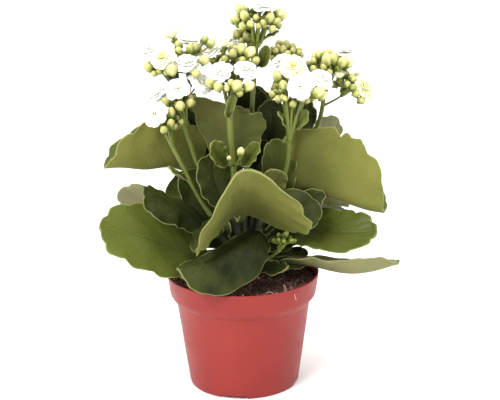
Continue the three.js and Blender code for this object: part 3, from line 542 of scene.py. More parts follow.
# %% Stem finishes
shoot_skin = Finish("shoot_skin", Roughness=0.55)
bark = shoot_skin.blend(shoot_skin.steps(shoot_skin.noise(150, 4), 0.35, 0.7), linear(34, 40, 18), linear(54, 58, 28))
shoot_skin.colour(shoot_skin.blend(shoot_skin.steps(shoot_skin.noise(520, 5, 0.7), 0.55, 0.72, 0, 0.5), bark,
                                   linear(72, 60, 38)))
shoot_skin.relief(shoot_skin.noise(600, 4), 0.3, 0.6)

stalk_skin = Finish("stalk_skin", Roughness=0.42, Subsurface_Weight=0.12, Subsurface_Scale=0.002)
stalk_marks = stalk_skin.marks()
green = stalk_skin.blend(stalk_marks[2], linear(80, 88, 28), linear(120, 128, 46))
green = stalk_skin.blend(stalk_skin.steps(stalk_skin.noise(210, 4), 0.4, 0.72, 0, 0.45), green, linear(76, 88, 32))
stalk_skin.colour(green)
stalk_skin.relief(stalk_skin.noise(900, 3), 0.12, 0.5)

# %% Shoots
TRUNK_RADII = [4.6, 5.2, 5.3, 5.5, 5.2, 5.3, 5.6, 5.2, 4.4]
SHOOT_ROWS = 26
SHOOT_KNOTS = 1 + 0.06 * np.cos(np.linspace(0, 5 * math.pi, SHOOT_ROWS))
shoot_sheet = Sheet()
trunk = SmoothLine([(0, 0, 66), (0, 0, 78), (0.3, -0.2, 88), (0, 0, 99)])
add_tube(shoot_sheet, trunk, TRUNK_RADII, rows=len(TRUNK_RADII), sides=28, ribs=0.03)
for name, (radius, leafy, _) in STEMS.items():
    line = stem_lines[name]
    add_tube(shoot_sheet, line, (radius + SHOOT_EXTRA) * SHOOT_KNOTS, rows=SHOOT_ROWS, sides=16,
             end=line.share_at_height(leafy), ribs=0.035)
shoot_sheet.finish("leafy_shoots", shoot_skin, "shoot_skin", "shoots")
print("shoot points:", shoot_sheet.count)

# %% [markdown]
# ## Leaves
#
# A kalanchoe leaf is thick and waxy, broadly oval, with rounded teeth along the margin and a short flat stalk. It
# is folded along its rib by a different angle on each leaf and each side. The flat outline comes first: for an
# angle round the blade's middle, it says how far along the rib and how far out the margin lies, with a notch
# between each two teeth. Then every point of the flat leaf is carried out from the curved rib in small steps that
# tilt more and more, which bends the blade without stretching it.

# %% Leaf outline and fold
TEETH_SPAN = 2.45
TOOTH_DEPTH = 0.1
FOLD_ROOM = 0.2
BEND_STEPS = 12


def chance(seed, index):
    """A repeatable number from 0 to 1 for each pair of whole numbers, the same as in the solids' source."""
    wave = np.sin(seed * 12.9898 + index * 78.233) * 43758.5453
    return wave - np.floor(wave)


def mix(low, high, share):
    return low + (high - low) * share


def margin(leaf, side, angle):
    """How far along the rib and out from it the margin is, at angles from 0 at the tip to pi at the stalk."""
    tooth = angle / TEETH_SPAN * leaf["teeth"]
    depth = TOOTH_DEPTH * leaf["tooth"] * mix(0.6, 1.4, chance(leaf["seed"] + 7 * side, np.round(tooth)))
    notch = np.where(tooth < leaf["teeth"], 1 - np.sqrt(np.abs(np.cos(math.pi * tooth))), 0)
    ripple = 0.01 * np.sin(angle * 9.1 + leaf["seed"] + 2 * side) + 0.006 * np.sin(angle * 21.3 + 3 * leaf["seed"])
    cleft_side, cleft_angle, cleft_depth, cleft_width = leaf["cleft"]
    cleft = cleft_depth * np.exp(-(((angle - cleft_angle) / cleft_width) ** 2)) * (side == cleft_side)
    scale = 1 - depth * notch - cleft + ripple * np.clip((TEETH_SPAN - angle) * 3, 0, 1)
    half = (leaf["length"] - leaf["stalk"]) / 2
    rounded = np.sin(angle) ** leaf["fullness"] * (1 + leaf["taper"] * np.cos(angle))
    along = leaf["length"] - half + half * scale * np.cos(angle) + leaf["sweep"][side] * np.sin(angle)
    blade = leaf["half_width"][side] * scale * rounded
    stalk = np.where(angle > math.pi / 2, leaf["stalk_half_width"], 0.02)
    return along, (blade ** 4 + stalk ** 4) ** 0.25


def bend(leaf, along, across):
    """The place and the upward direction of points of the flat leaf. across is positive on the left half."""
    side = (across < 0).astype(int)
    reach = np.abs(across)
    inside = np.clip(along / leaf["length"], 0, 1)
    forward = leaf["line"].direction(inside)
    place = leaf["line"].point(inside) + forward * (along - inside * leaf["length"])[..., None]
    up = np.broadcast_to(np.array(leaf["up"], float), forward.shape)
    up = unit(up - forward * np.sum(up * forward, -1, keepdims=True))
    outward = np.cross(up, forward) * np.where(side == 0, 1, -1)[..., None]
    slopes, curls, widths = (np.array(leaf[key], float) for key in ("slope", "curl", "half_width"))
    slope = mix(slopes[side, 0], slopes[side, 1], inside)
    for step in range(BEND_STEPS):
        share = (step + 0.5) / BEND_STEPS * reach / widths[side]
        angle = np.radians(slope * np.minimum(1, share / FOLD_ROOM) + curls[side] * share)
        place = place + outward * (np.cos(angle) * reach / BEND_STEPS)[..., None]
        place = place + up * (np.sin(angle) * reach / BEND_STEPS)[..., None]
    face = up * np.cos(angle)[..., None] - outward * np.sin(angle)[..., None]
    return place, face


# %% [markdown]
# The blade isn't flat between rib and margin. The tissue swells between the side veins, the rib is a groove above
# and a keel below, and the margin waves a little with the teeth. These are small shifts along the blade's upward
# direction, made on both faces alike, so the blade keeps its thickness.

# %% Leaf skin
SIDE_VEINS = 6
VEIN_SLANT = 0.42
MARGIN_BAND = 5.0
MARGIN_WAVE, DENT_DEPTH = 0.9, 0.7
RIB_WIDTH, RIB_GROOVE, RIB_KEEL = 1.3, 0.45, 0.5
TOOTH_ROWS, BASE_ROWS, STALK_ROWS = 11, 10, 8
STALK_ROOT = -1.6
# The places of the columns across half a leaf, and how the thickness rounds off at the margin.
SHARES = np.array([0, 0.025, 0.06, 0.11, 0.17, 0.24, 0.32, 0.4, 0.48, 0.56, 0.64, 0.72, 0.79, 0.85, 0.9, 0.94,
                   0.965, 0.985, 1.0])
EDGE = np.interp(SHARES, [0.94, 0.965, 0.985, 1.0], [1, 0.92, 0.72, 0.3])


def flat_grid(leaf):
    """The flat leaf as a grid: how far along the rib, how far out from it, and out as a share of the half's width."""
    blade_angles = np.linspace(0.004, TEETH_SPAN, TOOTH_ROWS * leaf["teeth"] + 1)
    base_angles = np.linspace(TEETH_SPAN, math.pi * 0.985, BASE_ROWS)[1:]
    angles = np.concatenate([blade_angles, base_angles])[::-1]
    half = (leaf["length"] - leaf["stalk"]) / 2
    ribs = leaf["length"] - half + half * np.cos(angles)
    stalk_rows = np.linspace(STALK_ROOT, ribs[0], STALK_ROWS + 1)[:-1]
    rib = np.concatenate([stalk_rows, ribs])
    halves = []
    for side, sign, shares in ((1, -1, SHARES[::-1]), (0, 1, SHARES[1:])):
        along, across = margin(leaf, side, angles)
        along = np.concatenate([stalk_rows, along])
        across = np.concatenate([np.full(STALK_ROWS, leaf["stalk_half_width"]), across])
        halves.append((rib[:, None] + (along - rib)[:, None] * shares, sign * across[:, None] * shares,
                       np.broadcast_to(sign * shares, (len(rib), len(shares)))))
    return [np.concatenate(parts, 1) for parts in zip(*halves)]


def outline_distance(along, across):
    """How far each point of the flat leaf is from its outline, which is the grid's first and last columns."""
    outline = np.stack([np.concatenate([along[:, 0], along[::-1, -1]]),
                        np.concatenate([across[:, 0], across[::-1, -1]])], -1)
    run = np.diff(outline, axis=0)
    offset = np.stack([along, across], -1)[..., None, :] - outline[:-1]
    share = np.clip(np.sum(offset * run, -1) / np.maximum(np.sum(run * run, -1), 1e-9), 0, 1)
    return np.min(np.linalg.norm(offset - share[..., None] * run, axis=-1), -1)


def leaf_surface(leaf, sheet, thickness):
    """Adds one leaf to a sheet. thickness is that of the stalk, the blade at the rib and at the margin."""
    along, across, share = flat_grid(leaf)
    place, face = bend(leaf, along, across)
    out = np.abs(share)
    inside = np.clip(along / leaf["length"], 0, 1)
    blade = np.clip((inside - 0.2) / 0.15, 0, 1)
    vein_phase = SIDE_VEINS * (inside - VEIN_SLANT * out)
    swell = np.abs(np.sin(math.pi * vein_phase)) * 4 * out * (1 - out) * leaf["quilt"]
    wave = MARGIN_WAVE * np.sin(2 * math.pi * (inside * (1.3 * leaf["teeth"]) + leaf["seed"] * 0.37)) * out ** 3
    dents = DENT_DEPTH * np.sin(along * 0.16 + leaf["seed"]) * np.sin(across * 0.19 + 2 * leaf["seed"])
    shift = (swell + wave + dents) * blade
    on_stalk = np.clip(2 * (1 - along / leaf["stalk"]), 0, 1)
    thick = mix(mix(thickness[1], thickness[2], out), thickness[0], on_stalk)
    edge = np.concatenate([EDGE[::-1], EDGE[1:]])
    thick = thick * mix(edge, np.sqrt(1 - 0.9 * out ** 2), on_stalk)
    rib_line = np.exp(-((across / RIB_WIDTH) ** 2)) * np.clip((1 - inside) * 4, 0, 1)
    upper = place + face * (shift + thick / 2 - RIB_GROOVE * rib_line * blade)[..., None]
    lower = place + face * (shift - thick / 2 - RIB_KEEL * rib_line * blade)[..., None]
    near_margin = 1 - np.clip(outline_distance(along, across) / MARGIN_BAND, 0, 1)
    tone = np.full(share.shape, leaf["tone"])
    marks = [np.stack([np.full(share.shape, upper_side), near_margin, tone], -1) for upper_side in (1.0, 0.0)]
    places = np.stack([0.5 + 0.5 * share, inside], -1)
    sheet.add_slab(upper, lower, marks, np.stack([places, places]))


# %% [markdown]
# A leaf's row in the tables below says only what is special about it. The next function fills in the rest. It
# starts the leaf's stalk just outside the stem, on the side that the leaf points to. The small leaves of the
# flower stalks are joined to their stalk, so they start inside it.

# %% Leaves from their rows
LEAF_GAP, LEAF_KNEE, FUSED_START = 0.7, 5, 0.5
LEAF_STALK = 0.2
PLAIN_LEAF = {"teeth": 4, "taper": 0.1, "sweep": (0, 0), "fullness": 0.8, "stalk_half_width": 2.2, "quilt": 0.4,
              "tooth": 1, "cleft": (0, 0, 0, 1), "slope": ((5, 5), (5, 5)), "curl": (5, 5), "fused": False}


def grown_leaf(seed, given):
    """Fills in what a leaf's row leaves out, and finds where its stalk leaves the stem."""
    leaf = {**PLAIN_LEAF, "tone": 0.5 * float(chance(seed, 3)), **given}
    radius, leafy, _ = STEMS[leaf["on"]]
    radius += SHOOT_EXTRA if leaf["height"] < leafy else 0
    line = stem_lines[leaf["on"]]
    share = line.share_at_height(leaf["height"])
    middle, along = line.point(share), line.direction(share)
    away = np.array(leaf["rib"][0]) - middle
    away = unit(away - along * away.dot(along))
    first = [FUSED_START] if leaf["fused"] else [radius + LEAF_GAP, radius + LEAF_KNEE]
    curve = SmoothLine([*(middle + away * reach for reach in first), *leaf["rib"]])
    return {**leaf, "seed": seed, "line": curve, "length": curve.length, "stalk": LEAF_STALK * curve.length}


# %% [markdown]
# Upper sides are deep green with a waxy shine and fine, paler veins. Undersides are a dull olive, and a thin pale
# line runs along the margin. The veins are drawn by the same formula that swells the blade, with the leaf's own
# two coordinates instead of its place in space, so they follow every bend.

# %% Leaf finish
leaf_skin = Finish("leaf_skin", Roughness=0.4, Specular_IOR_Level=0.1, Subsurface_Weight=0.05,
                   Subsurface_Scale=0.0015)
upper_side, near_margin, leaf_tone_and_shade = leaf_skin.marks()
flat_place = leaf_skin.node("ShaderNodeSeparateXYZ", {0: leaf_skin.node("ShaderNodeUVMap").outputs[0]}).outputs
out_share = leaf_skin.math("ABSOLUTE", leaf_skin.times(leaf_skin.minus(flat_place[0], 0.5), 2))
patches = leaf_skin.steps(leaf_skin.noise(34, 4, 0.6), 0.3, 0.72)

# %% Leaf veins
bent_out = leaf_skin.times(leaf_skin.math("POWER", out_share, 1.3), VEIN_SLANT)
wander = leaf_skin.times(leaf_skin.noise(55, 2), 0.09)
vein_place = leaf_skin.plus(leaf_skin.minus(flat_place[1], bent_out), wander)
vein_wave = leaf_skin.math("ABSOLUTE", leaf_skin.math("SINE", leaf_skin.times(vein_place, SIDE_VEINS * math.pi)))
side_vein = leaf_skin.steps(vein_wave, 0.02, 0.16, 1.0, 0.0)
fading = leaf_skin.steps(out_share, 0.5, 0.9, 1.0, 0.0)
rib = leaf_skin.steps(out_share, 0.0, 0.05, 1.0, 0.0)
vein = leaf_skin.math("MAXIMUM", leaf_skin.times(side_vein, fading), rib)
fine_net = leaf_skin.steps(leaf_skin.net(330), 0.0, 0.12, 1.0, 0.0)

# %% [markdown]
# A leaf's tone runs from a deep green to a ripe green, and from there to the grey-green of the oldest leaves. The
# deepest tones are partly painted shade: the leaves that stand in shade are given them. Near its stalk each leaf is
# painted darker as well, a painted shade from the crowd of leaves round it.

# %% Leaf colours
ripe_and_lit_share = leaf_skin.steps(leaf_tone_and_shade, 0.0, 0.66)
hoary = leaf_skin.steps(leaf_tone_and_shade, 0.66, 1.0)
upper = leaf_skin.blend(ripe_and_lit_share, linear(26, 34, 12), linear(84, 92, 34))
upper = leaf_skin.blend(leaf_skin.times(patches, 0.4), upper, linear(90, 92, 38))
upper = leaf_skin.blend(hoary, upper, linear(104, 112, 50))
upper = leaf_skin.blend(leaf_skin.times(vein, 0.09), upper, linear(140, 148, 86))
upper = leaf_skin.blend(leaf_skin.times(fine_net, 0.14), upper, linear(36, 50, 20))
under = leaf_skin.blend(ripe_and_lit_share, linear(72, 76, 40), linear(118, 120, 56))
under = leaf_skin.blend(leaf_skin.times(patches, 0.45), under, linear(100, 100, 50))
under = leaf_skin.blend(hoary, under, linear(134, 132, 98))
under = leaf_skin.blend(leaf_skin.times(vein, 0.07), under, linear(156, 160, 106))
skin = leaf_skin.blend(upper_side, under, upper)
# Painted shade: each leaf's colour darkens towards its stalk, where the crowd of leaves shades it.
from_stalk = leaf_skin.plus(flat_place[1], leaf_skin.times(out_share, 0.4))
skin = leaf_skin.blend(leaf_skin.steps(from_stalk, 0.3, 1.0, 0.42, 1.0), linear(24, 34, 14), skin)
pale_edge = leaf_skin.steps(near_margin, 0.84, 0.94, 0.0, 0.6)
leaf_skin.colour(leaf_skin.blend(pale_edge, skin, linear(142, 146, 90)))
dull_side = leaf_skin.times(leaf_skin.minus(1.0, upper_side), 0.14)
leaf_skin.roughness(leaf_skin.plus(leaf_skin.steps(leaf_skin.noise(180, 4), 0.3, 0.7, 0.3, 0.44), dull_side))
pores = leaf_skin.plus(leaf_skin.times(leaf_skin.noise(1500, 2), 0.2), leaf_skin.noise(240, 3))
leaf_skin.relief(leaf_skin.minus(pores, leaf_skin.times(vein, 0.5)), 0.5, 0.8)

# %% [markdown]
# Each leaf has its row: the stem and height that it grows from, three points of its rib, the way its upper face
# looks, how wide each half is, and how steeply the halves rise or fall. The rows are the solids' own numbers, so
# that each fine leaf takes the place of the plain one. Shallower teeth, a split margin and swollen tissue are finer
# details, and only the rows here have them.

# %% Leaf rows
# The tones near 0 in these rows are partly painted shade, on leaves that stand in shade.
LEAVES = {
    "left_upper": dict(on="back_left", height=163, rib=[(-49, 8, 173), (-74, -4, 177), (-104, -18, 181)],
                       up=(0, 0.1, 1), half_width=(50, 44), slope=((68, 58), (50, 40)), curl=(12, 10), taper=-0.1,
                       sweep=(0, -12), tone=0.6),
    "right_upper": dict(on="far_right", height=152, rib=[(52, 2, 155), (83, -8, 147), (109, -16, 142)],
                        up=(0.1, 0.1, 1), half_width=(36, 60), slope=((25, 20), (80, 74)), curl=(10, 10),
                        sweep=(0, -8), fullness=0.45, taper=-0.06, tone=0.6, tooth=0.6, cleft=(1, 1.74, 0.1, 0.06)),
    "front_arch": dict(on="front", height=138, rib=[(2, -30, 150), (4, -54, 172), (6, -74, 192)], up=(0, 0.5, 1),
                       half_width=(54, 62), slope=((-22, -30), (-48, -55)), curl=(-8, -8), fullness=0.7,
                       sweep=(-14, -4), tone=0.48, tooth=0.5),
    "front_low": dict(on="front", height=112, rib=[(10, -26, 131), (-17, -47, 120), (-48, -64, 114)], up=(0, 0, 1),
                      half_width=(31, 7), slope=((-60, -60), (10, 10)), curl=(-10, 10), tone=0.0, tooth=0.4),
    "left_low": dict(on="low_left", height=104, rib=[(-38, -18, 110), (-72, -34, 130), (-106, -46, 142)],
                     up=(0.1, -0.8, 0.7), half_width=(30, 26), slope=((5, 5), (8, 8)), curl=(10, 5), tone=0.6,
                     quilt=0.55),
    "left_middle": dict(on="low_left", height=126, rib=[(-42, -18, 146), (-58, -26, 156), (-74, -32, 168)],
                        up=(0, -0.4, 1), half_width=(18, 9), slope=((-45, -35), (10, 10)), curl=(0, 0), tone=0.05),
    "left_tip": dict(on="back_left", height=122, rib=[(-46, 4, 134), (-74, -4, 148), (-95, -10, 158)],
                     up=(-0.3, 1, 0.3), half_width=(11, 12), slope=((10, 10), (10, 10)), curl=(0, 0), taper=0.7,
                     teeth=3, tone=0.95),
    "left_back": dict(on="back_left", height=138, rib=[(-36, 20, 143), (-48, 24, 148), (-60, 26, 152)],
                      up=(0, -1, 0.4), half_width=(18, 20), slope=((0, 0), (0, 0)), teeth=3),
    "centre_left": dict(on="front", height=142, rib=[(-16, -12, 153), (-21, -12, 171), (-22, -12, 190)],
                        up=(0.5, -1, 0.3), half_width=(16, 16), tone=0.0),
    "centre_back": dict(on="back_centre", height=158, rib=[(-9, -2, 180), (-9, -5, 204), (-8, -6, 225)],
                        up=(0, 1, 0.3), half_width=(26, 27), slope=((0, 0), (0, 0)), taper=0.4, sweep=(5, 20),
                        tone=0.2, cleft=(0, 0.5, 0.2, 0.12)),
    "back_left_high": dict(on="back_left", height=178, rib=[(-32, 36, 196), (-38, 44, 210), (-42, 46, 222)],
                           up=(0.2, -1, 0.3), half_width=(16, 16), curl=(10, 10), teeth=3, tone=0.0),
    "back_high": dict(on="back_centre", height=186, rib=[(2, 36, 202), (10, 42, 216), (13, 44, 230)],
                      up=(0, -1, 0.3), half_width=(16, 16), curl=(10, 10), teeth=3),
    "right_high": dict(on="back_right", height=180, rib=[(35, 29, 196), (45, 35, 209), (53, 36, 222)],
                       up=(-0.3, -1, 0.3), half_width=(14, 18), curl=(10, 10), teeth=3),
    "right_far": dict(on="far_right", height=168, rib=[(60, 38, 182), (69, 46, 191), (76, 50, 203)], up=(0, 1, 0.5),
                      half_width=(15, 15), teeth=3, tone=1.0),
    "right_small": dict(on="right", height=153, rib=[(23, -18, 164), (26, -20, 171), (29, -22, 178)],
                        up=(0, 1, 0.2), half_width=(10, 10), teeth=3),
    "right_middle": dict(on="right", height=128, rib=[(36, -20, 147), (46, -29, 148), (54, -35, 136)],
                         up=(0.4, -0.8, 0.6), half_width=(15, 12), slope=((10, 10), (-20, -20)), teeth=3,
                         tone=0.02),
    "right_under": dict(on="far_right", height=134, rib=[(56, 22, 140), (72, 24, 137), (85, 22, 136)],
                        up=(0, 0.3, 1), half_width=(18, 16), slope=((10, 10), (20, 20)), teeth=3, tone=0.6),
    "right_low": dict(on="right", height=118, rib=[(46, -4, 125), (76, -24, 128), (102, -34, 133)],
                      up=(0, -0.6, 0.8), half_width=(21, 20), slope=((10, 10), (0, 0)), curl=(10, 5), tone=0.42,
                      quilt=0.55),
    "right_long": dict(on="far_right", height=104, rib=[(50, -8, 98), (86, -20, 95), (119, -32, 106)],
                       up=(0, 0.1, 1), half_width=(24, 24), slope=((10, 5), (20, 45)), tone=0.85),
    "left_front": dict(on="front", height=123, rib=[(-20, -23, 135), (-29, -30, 129), (-36, -36, 118)],
                       up=(-0.5, -0.6, 0.6), half_width=(10, 12), slope=((5, 5), (-10, -10)), curl=(0, 0), teeth=3),
    "rear": dict(on="back_centre", height=124, rib=[(0, 46, 134), (3, 70, 134), (4, 92, 124)], up=(0, 0, 1),
                 half_width=(32, 26), slope=((10, -10), (10, -10)), curl=(-10, -10)),
    "rear_left": dict(on="back_left", height=112, rib=[(-40, 34, 114), (-78, 42, 116), (-117, 40, 114)],
                      up=(0, 0, 1), half_width=(26, 26), slope=((20, 10), (20, 10))),
    "rear_right": dict(on="back_right", height=118, rib=[(38, 38, 124), (64, 52, 126), (90, 62, 118)], up=(0, 0, 1),
                       half_width=(28, 28), slope=((15, 10), (15, 10)), curl=(-5, -5)),
    "rear_right_high": dict(on="back_right", height=148, rib=[(28, 42, 164), (42, 58, 170), (54, 72, 168)],
                            up=(0, 0, 1), half_width=(22, 22), slope=((15, 10), (15, 10)), curl=(-5, -5), teeth=3),
}

# %% Leaves
LEAF_THICKNESS = (2.9, 1.9, 1.0)
for number, (name, given) in enumerate(LEAVES.items(), 1):
    sheet = Sheet()
    leaf_surface(grown_leaf(number, given), sheet, LEAF_THICKNESS)
    sheet.finish(f"{name}_leaf", leaf_skin, "leaf", f"leaf_{name}")
print("leaves:", len(LEAVES), "points in the last:", sheet.count)

# %% [markdown]
# Between the stems, in the shade of the outer leaves, the plant has more leaves, small and dark: their low tones are
# partly painted shade. They aren't among the solids, so they are one mesh that stands beside them, grown by the same
# two functions. All have much in common, so their rows can be short: only one of them needs the last column, its
# number of teeth.

# %% Inner leaves
INNER = {"teeth": 3, "stalk_half_width": 1.6, "curl": (10, 10)}
INNER_THICKNESS = (2.2, 1.5, 0.8)
INNER_KEYS = ("on", "height", "rib", "up", "half_width", "tone", "teeth")
INNER_LEAVES = [
    ("back_centre", 112, [(-8, 24, 124), (-14, 30, 138), (-18, 34, 154)], (0, -1, 0.3), (18, 18), 0.1),
    ("back_left", 130, [(-24, 24, 142), (-30, 28, 158), (-34, 30, 176)], (0, -1, 0.2), (18, 18), 0.0),
    ("back_right", 126, [(16, 26, 140), (20, 32, 158), (24, 34, 174)], (0, -1, 0.2), (18, 16), 0.05),
    ("far_right", 124, [(30, 22, 136), (42, 30, 150), (50, 32, 166)], (-0.2, -1, 0.2), (16, 16), 0.1),
    ("centre", 116, [(8, 12, 130), (12, 16, 146), (13, 18, 162)], (0, -1, 0.2), (14, 14), 0.0),
    ("left", 110, [(-20, 8, 114), (-32, 10, 122), (-44, 12, 134)], (0, -0.8, 0.6), (13, 13), 0.15),
    ("right", 108, [(22, 6, 112), (34, 8, 116), (46, 8, 124)], (0, -0.8, 0.6), (12, 12), 0.1),
    ("back_centre", 103, [(-6, 22, 106), (-12, 32, 110), (-18, 40, 118)], (0, -0.6, 0.8), (16, 16), 0.2),
    ("back_right", 104, [(14, 22, 106), (22, 32, 108), (30, 40, 114)], (0, -0.6, 0.8), (16, 16), 0.1),
    ("front", 101, [(-10, -16, 104), (-18, -22, 106), (-26, -26, 110)], (0, -0.5, 1), (8, 8), 0.1),
    ("right", 100, [(16, -16, 99), (26, -24, 99), (35, -30, 103)], (0, -0.5, 1), (8, 8), 0.1),
    ("far_right", 101, [(24, -4, 98), (37, -6, 98), (50, -8, 98)], (0, -1, 0.3), (6, 5), 0.05),
    ("far_right", 100, [(24, 6, 94), (38, 14, 95), (52, 18, 100)], (0, -1, 0.3), (9, 7), 0.0),
    ("back_right", 101, [(12, 18, 96), (22, 28, 98), (34, 34, 102)], (0, -1, 0.3), (11, 8), 0.0),
    ("left", 101, [(-14, 4, 96), (-26, 8, 97), (-40, 10, 102)], (0, -1, 0.3), (11, 8), 0.0),
    ("right", 140, [(26, -2, 160), (27, -1, 178), (26, 0, 197)], (0, -1, 0.2), (12, 16), 0.3, 4),
    ("back_right", 184, [(24, 10, 200), (24, 8, 212), (22, 8, 226)], (0, -1, 0.3), (12, 12), 0.1),
    ("back_centre", 176, [(2, 24, 196), (8, 24, 214), (10, 24, 234)], (0, -1, 0.2), (16, 14), 0.05),
    ("back_left", 160, [(-36, 10, 184), (-42, 6, 204), (-46, 4, 222)], (0.1, -1, 0.2), (14, 14), 0.05),
    ("left", 126, [(-28, 2, 142), (-36, 2, 158), (-40, 2, 174)], (0, -1, 0.2), (14, 14), 0.05),
    ("centre", 150, [(10, 10, 166), (15, 10, 180), (18, 10, 194)], (0, -1, 0.2), (10, 10), 0.0),
    ("right", 118, [(36, -6, 136), (48, -8, 147), (64, -10, 156)], (0, -1, 0.4), (10, 10), 0.0),
]
sheet = Sheet()
for number, row in enumerate(INNER_LEAVES, 60):
    leaf_surface(grown_leaf(number, {**INNER, **dict(zip(INNER_KEYS, row))}), sheet, INNER_THICKNESS)
sheet.finish("inner_leaves", leaf_skin, "leaf")
print("inner leaves:", len(INNER_LEAVES))

# %% [markdown]
# ## Where the flowers are
#
# A head is a flat dome. Its few open flowers and its ripe buds are placed where the photograph shows them.
# The smaller buds follow the golden angle, which spreads them evenly without lining them up, and a second, lower
# ring fills the sides of the dome. A bud that would push into a flower or into another bud is dropped.
#
# Each row: the stem, how far below its top the head's arms start, how wide and high the dome is, and how many small
# buds to try. Then come the flowers, each with its place and the way it faces, and the ripe buds, each with its
# place and radius. Some stems carry a second head on a branch, and one row says how far its arms spread.

# %% Flower heads
HEADS = [
    dict(on="centre", fork=3, reach=18, rise=20, buds=11, blooms=[(16, 0, 299, (0.1, -0.1, 1))],
         ripe=[(1, -3, 297, 3.8), (4, -9, 293, 3.7), (23, -9, 291, 3.6), (32, -2, 292, 3.7), (29, 4, 293, 3.0),
               (28, -8, 288, 3.1)]),
    dict(on="front", reach=17, rise=19, buds=5,
         blooms=[(-15, -24, 254, (-0.4, -0.6, 0.8)), (5, -22, 255, (0.3, -0.4, 0.9))],
         ripe=[(-22, -32, 247, 3.5), (-16, -35, 245, 3.6), (-2, -36, 246, 4.2), (7, -33, 245, 3.9),
               (0, -34, 240, 2.8)]),
    dict(on="left", reach=13, rise=18, buds=6,
         blooms=[(-46, -28, 243, (-0.1, -0.7, 0.75)), (-29, -17, 245, (0.6, -0.45, 0.65))],
         ripe=[(-55, -32, 234, 3.1), (-44, -34, 231, 3.8), (-37, -28, 232, 3.4)]),
    dict(on="low_left", reach=12, rise=16, buds=6,
         blooms=[(-63, -38, 226, (-0.35, -0.85, 0.4)), (-62, -22, 237, (-0.4, -0.3, 0.9))],
         ripe=[(-51, -33, 226, 3.5), (-51, -37, 219, 3.1), (-56, -42, 215, 3.0)]),
    dict(on="back_left", reach=18, rise=19, buds=7,
         blooms=[(-69, 0, 268, (-0.3, -0.6, 0.75)), (-57, -17, 264, (-0.2, -0.75, 0.65))],
         opening=[(-50, 4, 276, (-0.3, -0.2, 0.9), 1.5)],
         ripe=[(-68, -14, 256, 3.4), (-50, -23, 256, 4.3)]),
    dict(on="back_left", branch=[(-40, 6, 222), (-38, 2, 240), (-38, 2, 254)], reach=14, rise=18, buds=5,
         blooms=[(-38, 11, 271, (0.1, -0.1, 1)), (-40, -12, 259, (0.05, -0.45, 0.9))],
         ripe=[(-37, -2, 268, 3.4), (-33, -2, 269, 3.0), (-26, 6, 273, 3.1), (-21, -3, 272, 3.2), (-32, -24, 253, 3.5),
               (-26, -17, 262, 4.0)]),
    dict(on="back_centre", reach=16, rise=18, buds=6, blooms=[(-22, 2, 264, (-0.3, -0.2, 0.9))],
         opening=[(-12, -5, 270, (0, -0.3, 1))],
         ripe=[(-5, -14, 266, 3.3), (-11, -15, 262, 2.8), (1, -8, 268, 4.1), (8, -10, 266, 4.2), (12, -12, 260, 3.2),
               (2, -15, 261, 2.9)]),
    dict(on="back_centre", branch=[(-8, 18, 222), (0, 20, 245), (4, 20, 262)], reach=13, rise=16, buds=5,
         blooms=[(-9, 19, 270, (0.2, -0.2, 1))], ripe=[(-2, 9, 277, 3.4), (6, 10, 275, 3.9), (9, 12, 270, 3.0)]),
    dict(on="back_right", reach=14, rise=15, buds=9),
    dict(on="right", fork=23, spread=0.8, reach=17, rise=24, buds=7,
         blooms=[(31, -6, 258, (-0.3, -0.2, 0.95)), (44, -31, 243, (0.1, -0.85, 0.5)),
                 (62, -15, 246, (0.5, -0.4, 0.75)), (39, -22, 257, (-0.1, -0.75, 0.65))],
         ripe=[(28, -21, 250, 4.0), (32, -27, 244, 3.5), (58, -34, 240, 4.3), (61, -28, 236, 3.5)]),
    dict(on="far_right", reach=15, rise=19, buds=8, blooms=[(80, 24, 260, (0.2, 0, 1))],
         ripe=[(66, 6, 257, 4.4), (71, 5, 258, 3.6), (78, 5, 255, 4.0), (83, 8, 253, 3.2)]),
    dict(on="far_right", branch=[(65, 18, 219), (75, 15, 225), (83, 14, 231)], fork=4, reach=12, rise=12, buds=5,
         blooms=[(95, 8, 234, (0.7, -0.5, 0.5))], opening=[(76, 8, 243, (-0.1, -0.2, 1))],
         ripe=[(86, 2, 236, 2.8), (88, 0, 231, 2.9), (92, -1, 226, 3.0)]),
    dict(on="low_right", fork=4, reach=9, rise=9, buds=6),
]
CREAM_BLOOMS = {(-57, -17, 264), (39, -22, 257), (95, 8, 234)}
print("heads:", len(HEADS), "cream flowers:", len(CREAM_BLOOMS))

# %% Flower head layout
GOLDEN_ANGLE = 2.39996
TUBE = 6.0
GAP = 0.35
BUD_SIZE = (2.1, 4.2)
BUD_LENGTH = (2.15, 2.8)
BUD_SPACING = 0.84
OPEN_REACH, OPENING_REACH, TUBE_REACH = 7.6, 5.0, 2
FLOWER_BACK, FLOWER_FRONT = -2, 4
DOME_TRIES, RING_TRIES, RING_RISE = 2.6, 2.0, 0.66


def bloom_at(place, opening):
    """A flower from its place, the way it faces and, if that isn't 1, its size."""
    centre = np.array(place[:3], float)
    face = unit(np.array(place[3], float))
    cream = place[:3] in CREAM_BLOOMS
    size = place[4] if len(place) > 4 else 1.0
    return dict(centre=centre, face=face, foot=centre - face * (TUBE + 2 * GAP), opening=opening, cream=cream,
                size=size)


def bud_length(radius):
    """Ripe buds are longer for their width than young ones."""
    return radius * float(np.interp(radius, BUD_SIZE, BUD_LENGTH))


def clear_of_bloom(middle, radius, bloom):
    """Whether a bud stands clear of a flower's face and of the tube behind it."""
    offset = middle - bloom["centre"]
    along = offset.dot(bloom["face"])
    across = np.linalg.norm(offset - bloom["face"] * along)
    reach = bud_length(radius) * 0.4
    width = OPENING_REACH if bloom["opening"] else OPEN_REACH
    in_face = FLOWER_BACK - reach < along < FLOWER_FRONT + reach and across < width + reach
    in_tube = -TUBE < along < FLOWER_FRONT and across < TUBE_REACH + reach
    return not (in_face or in_tube)


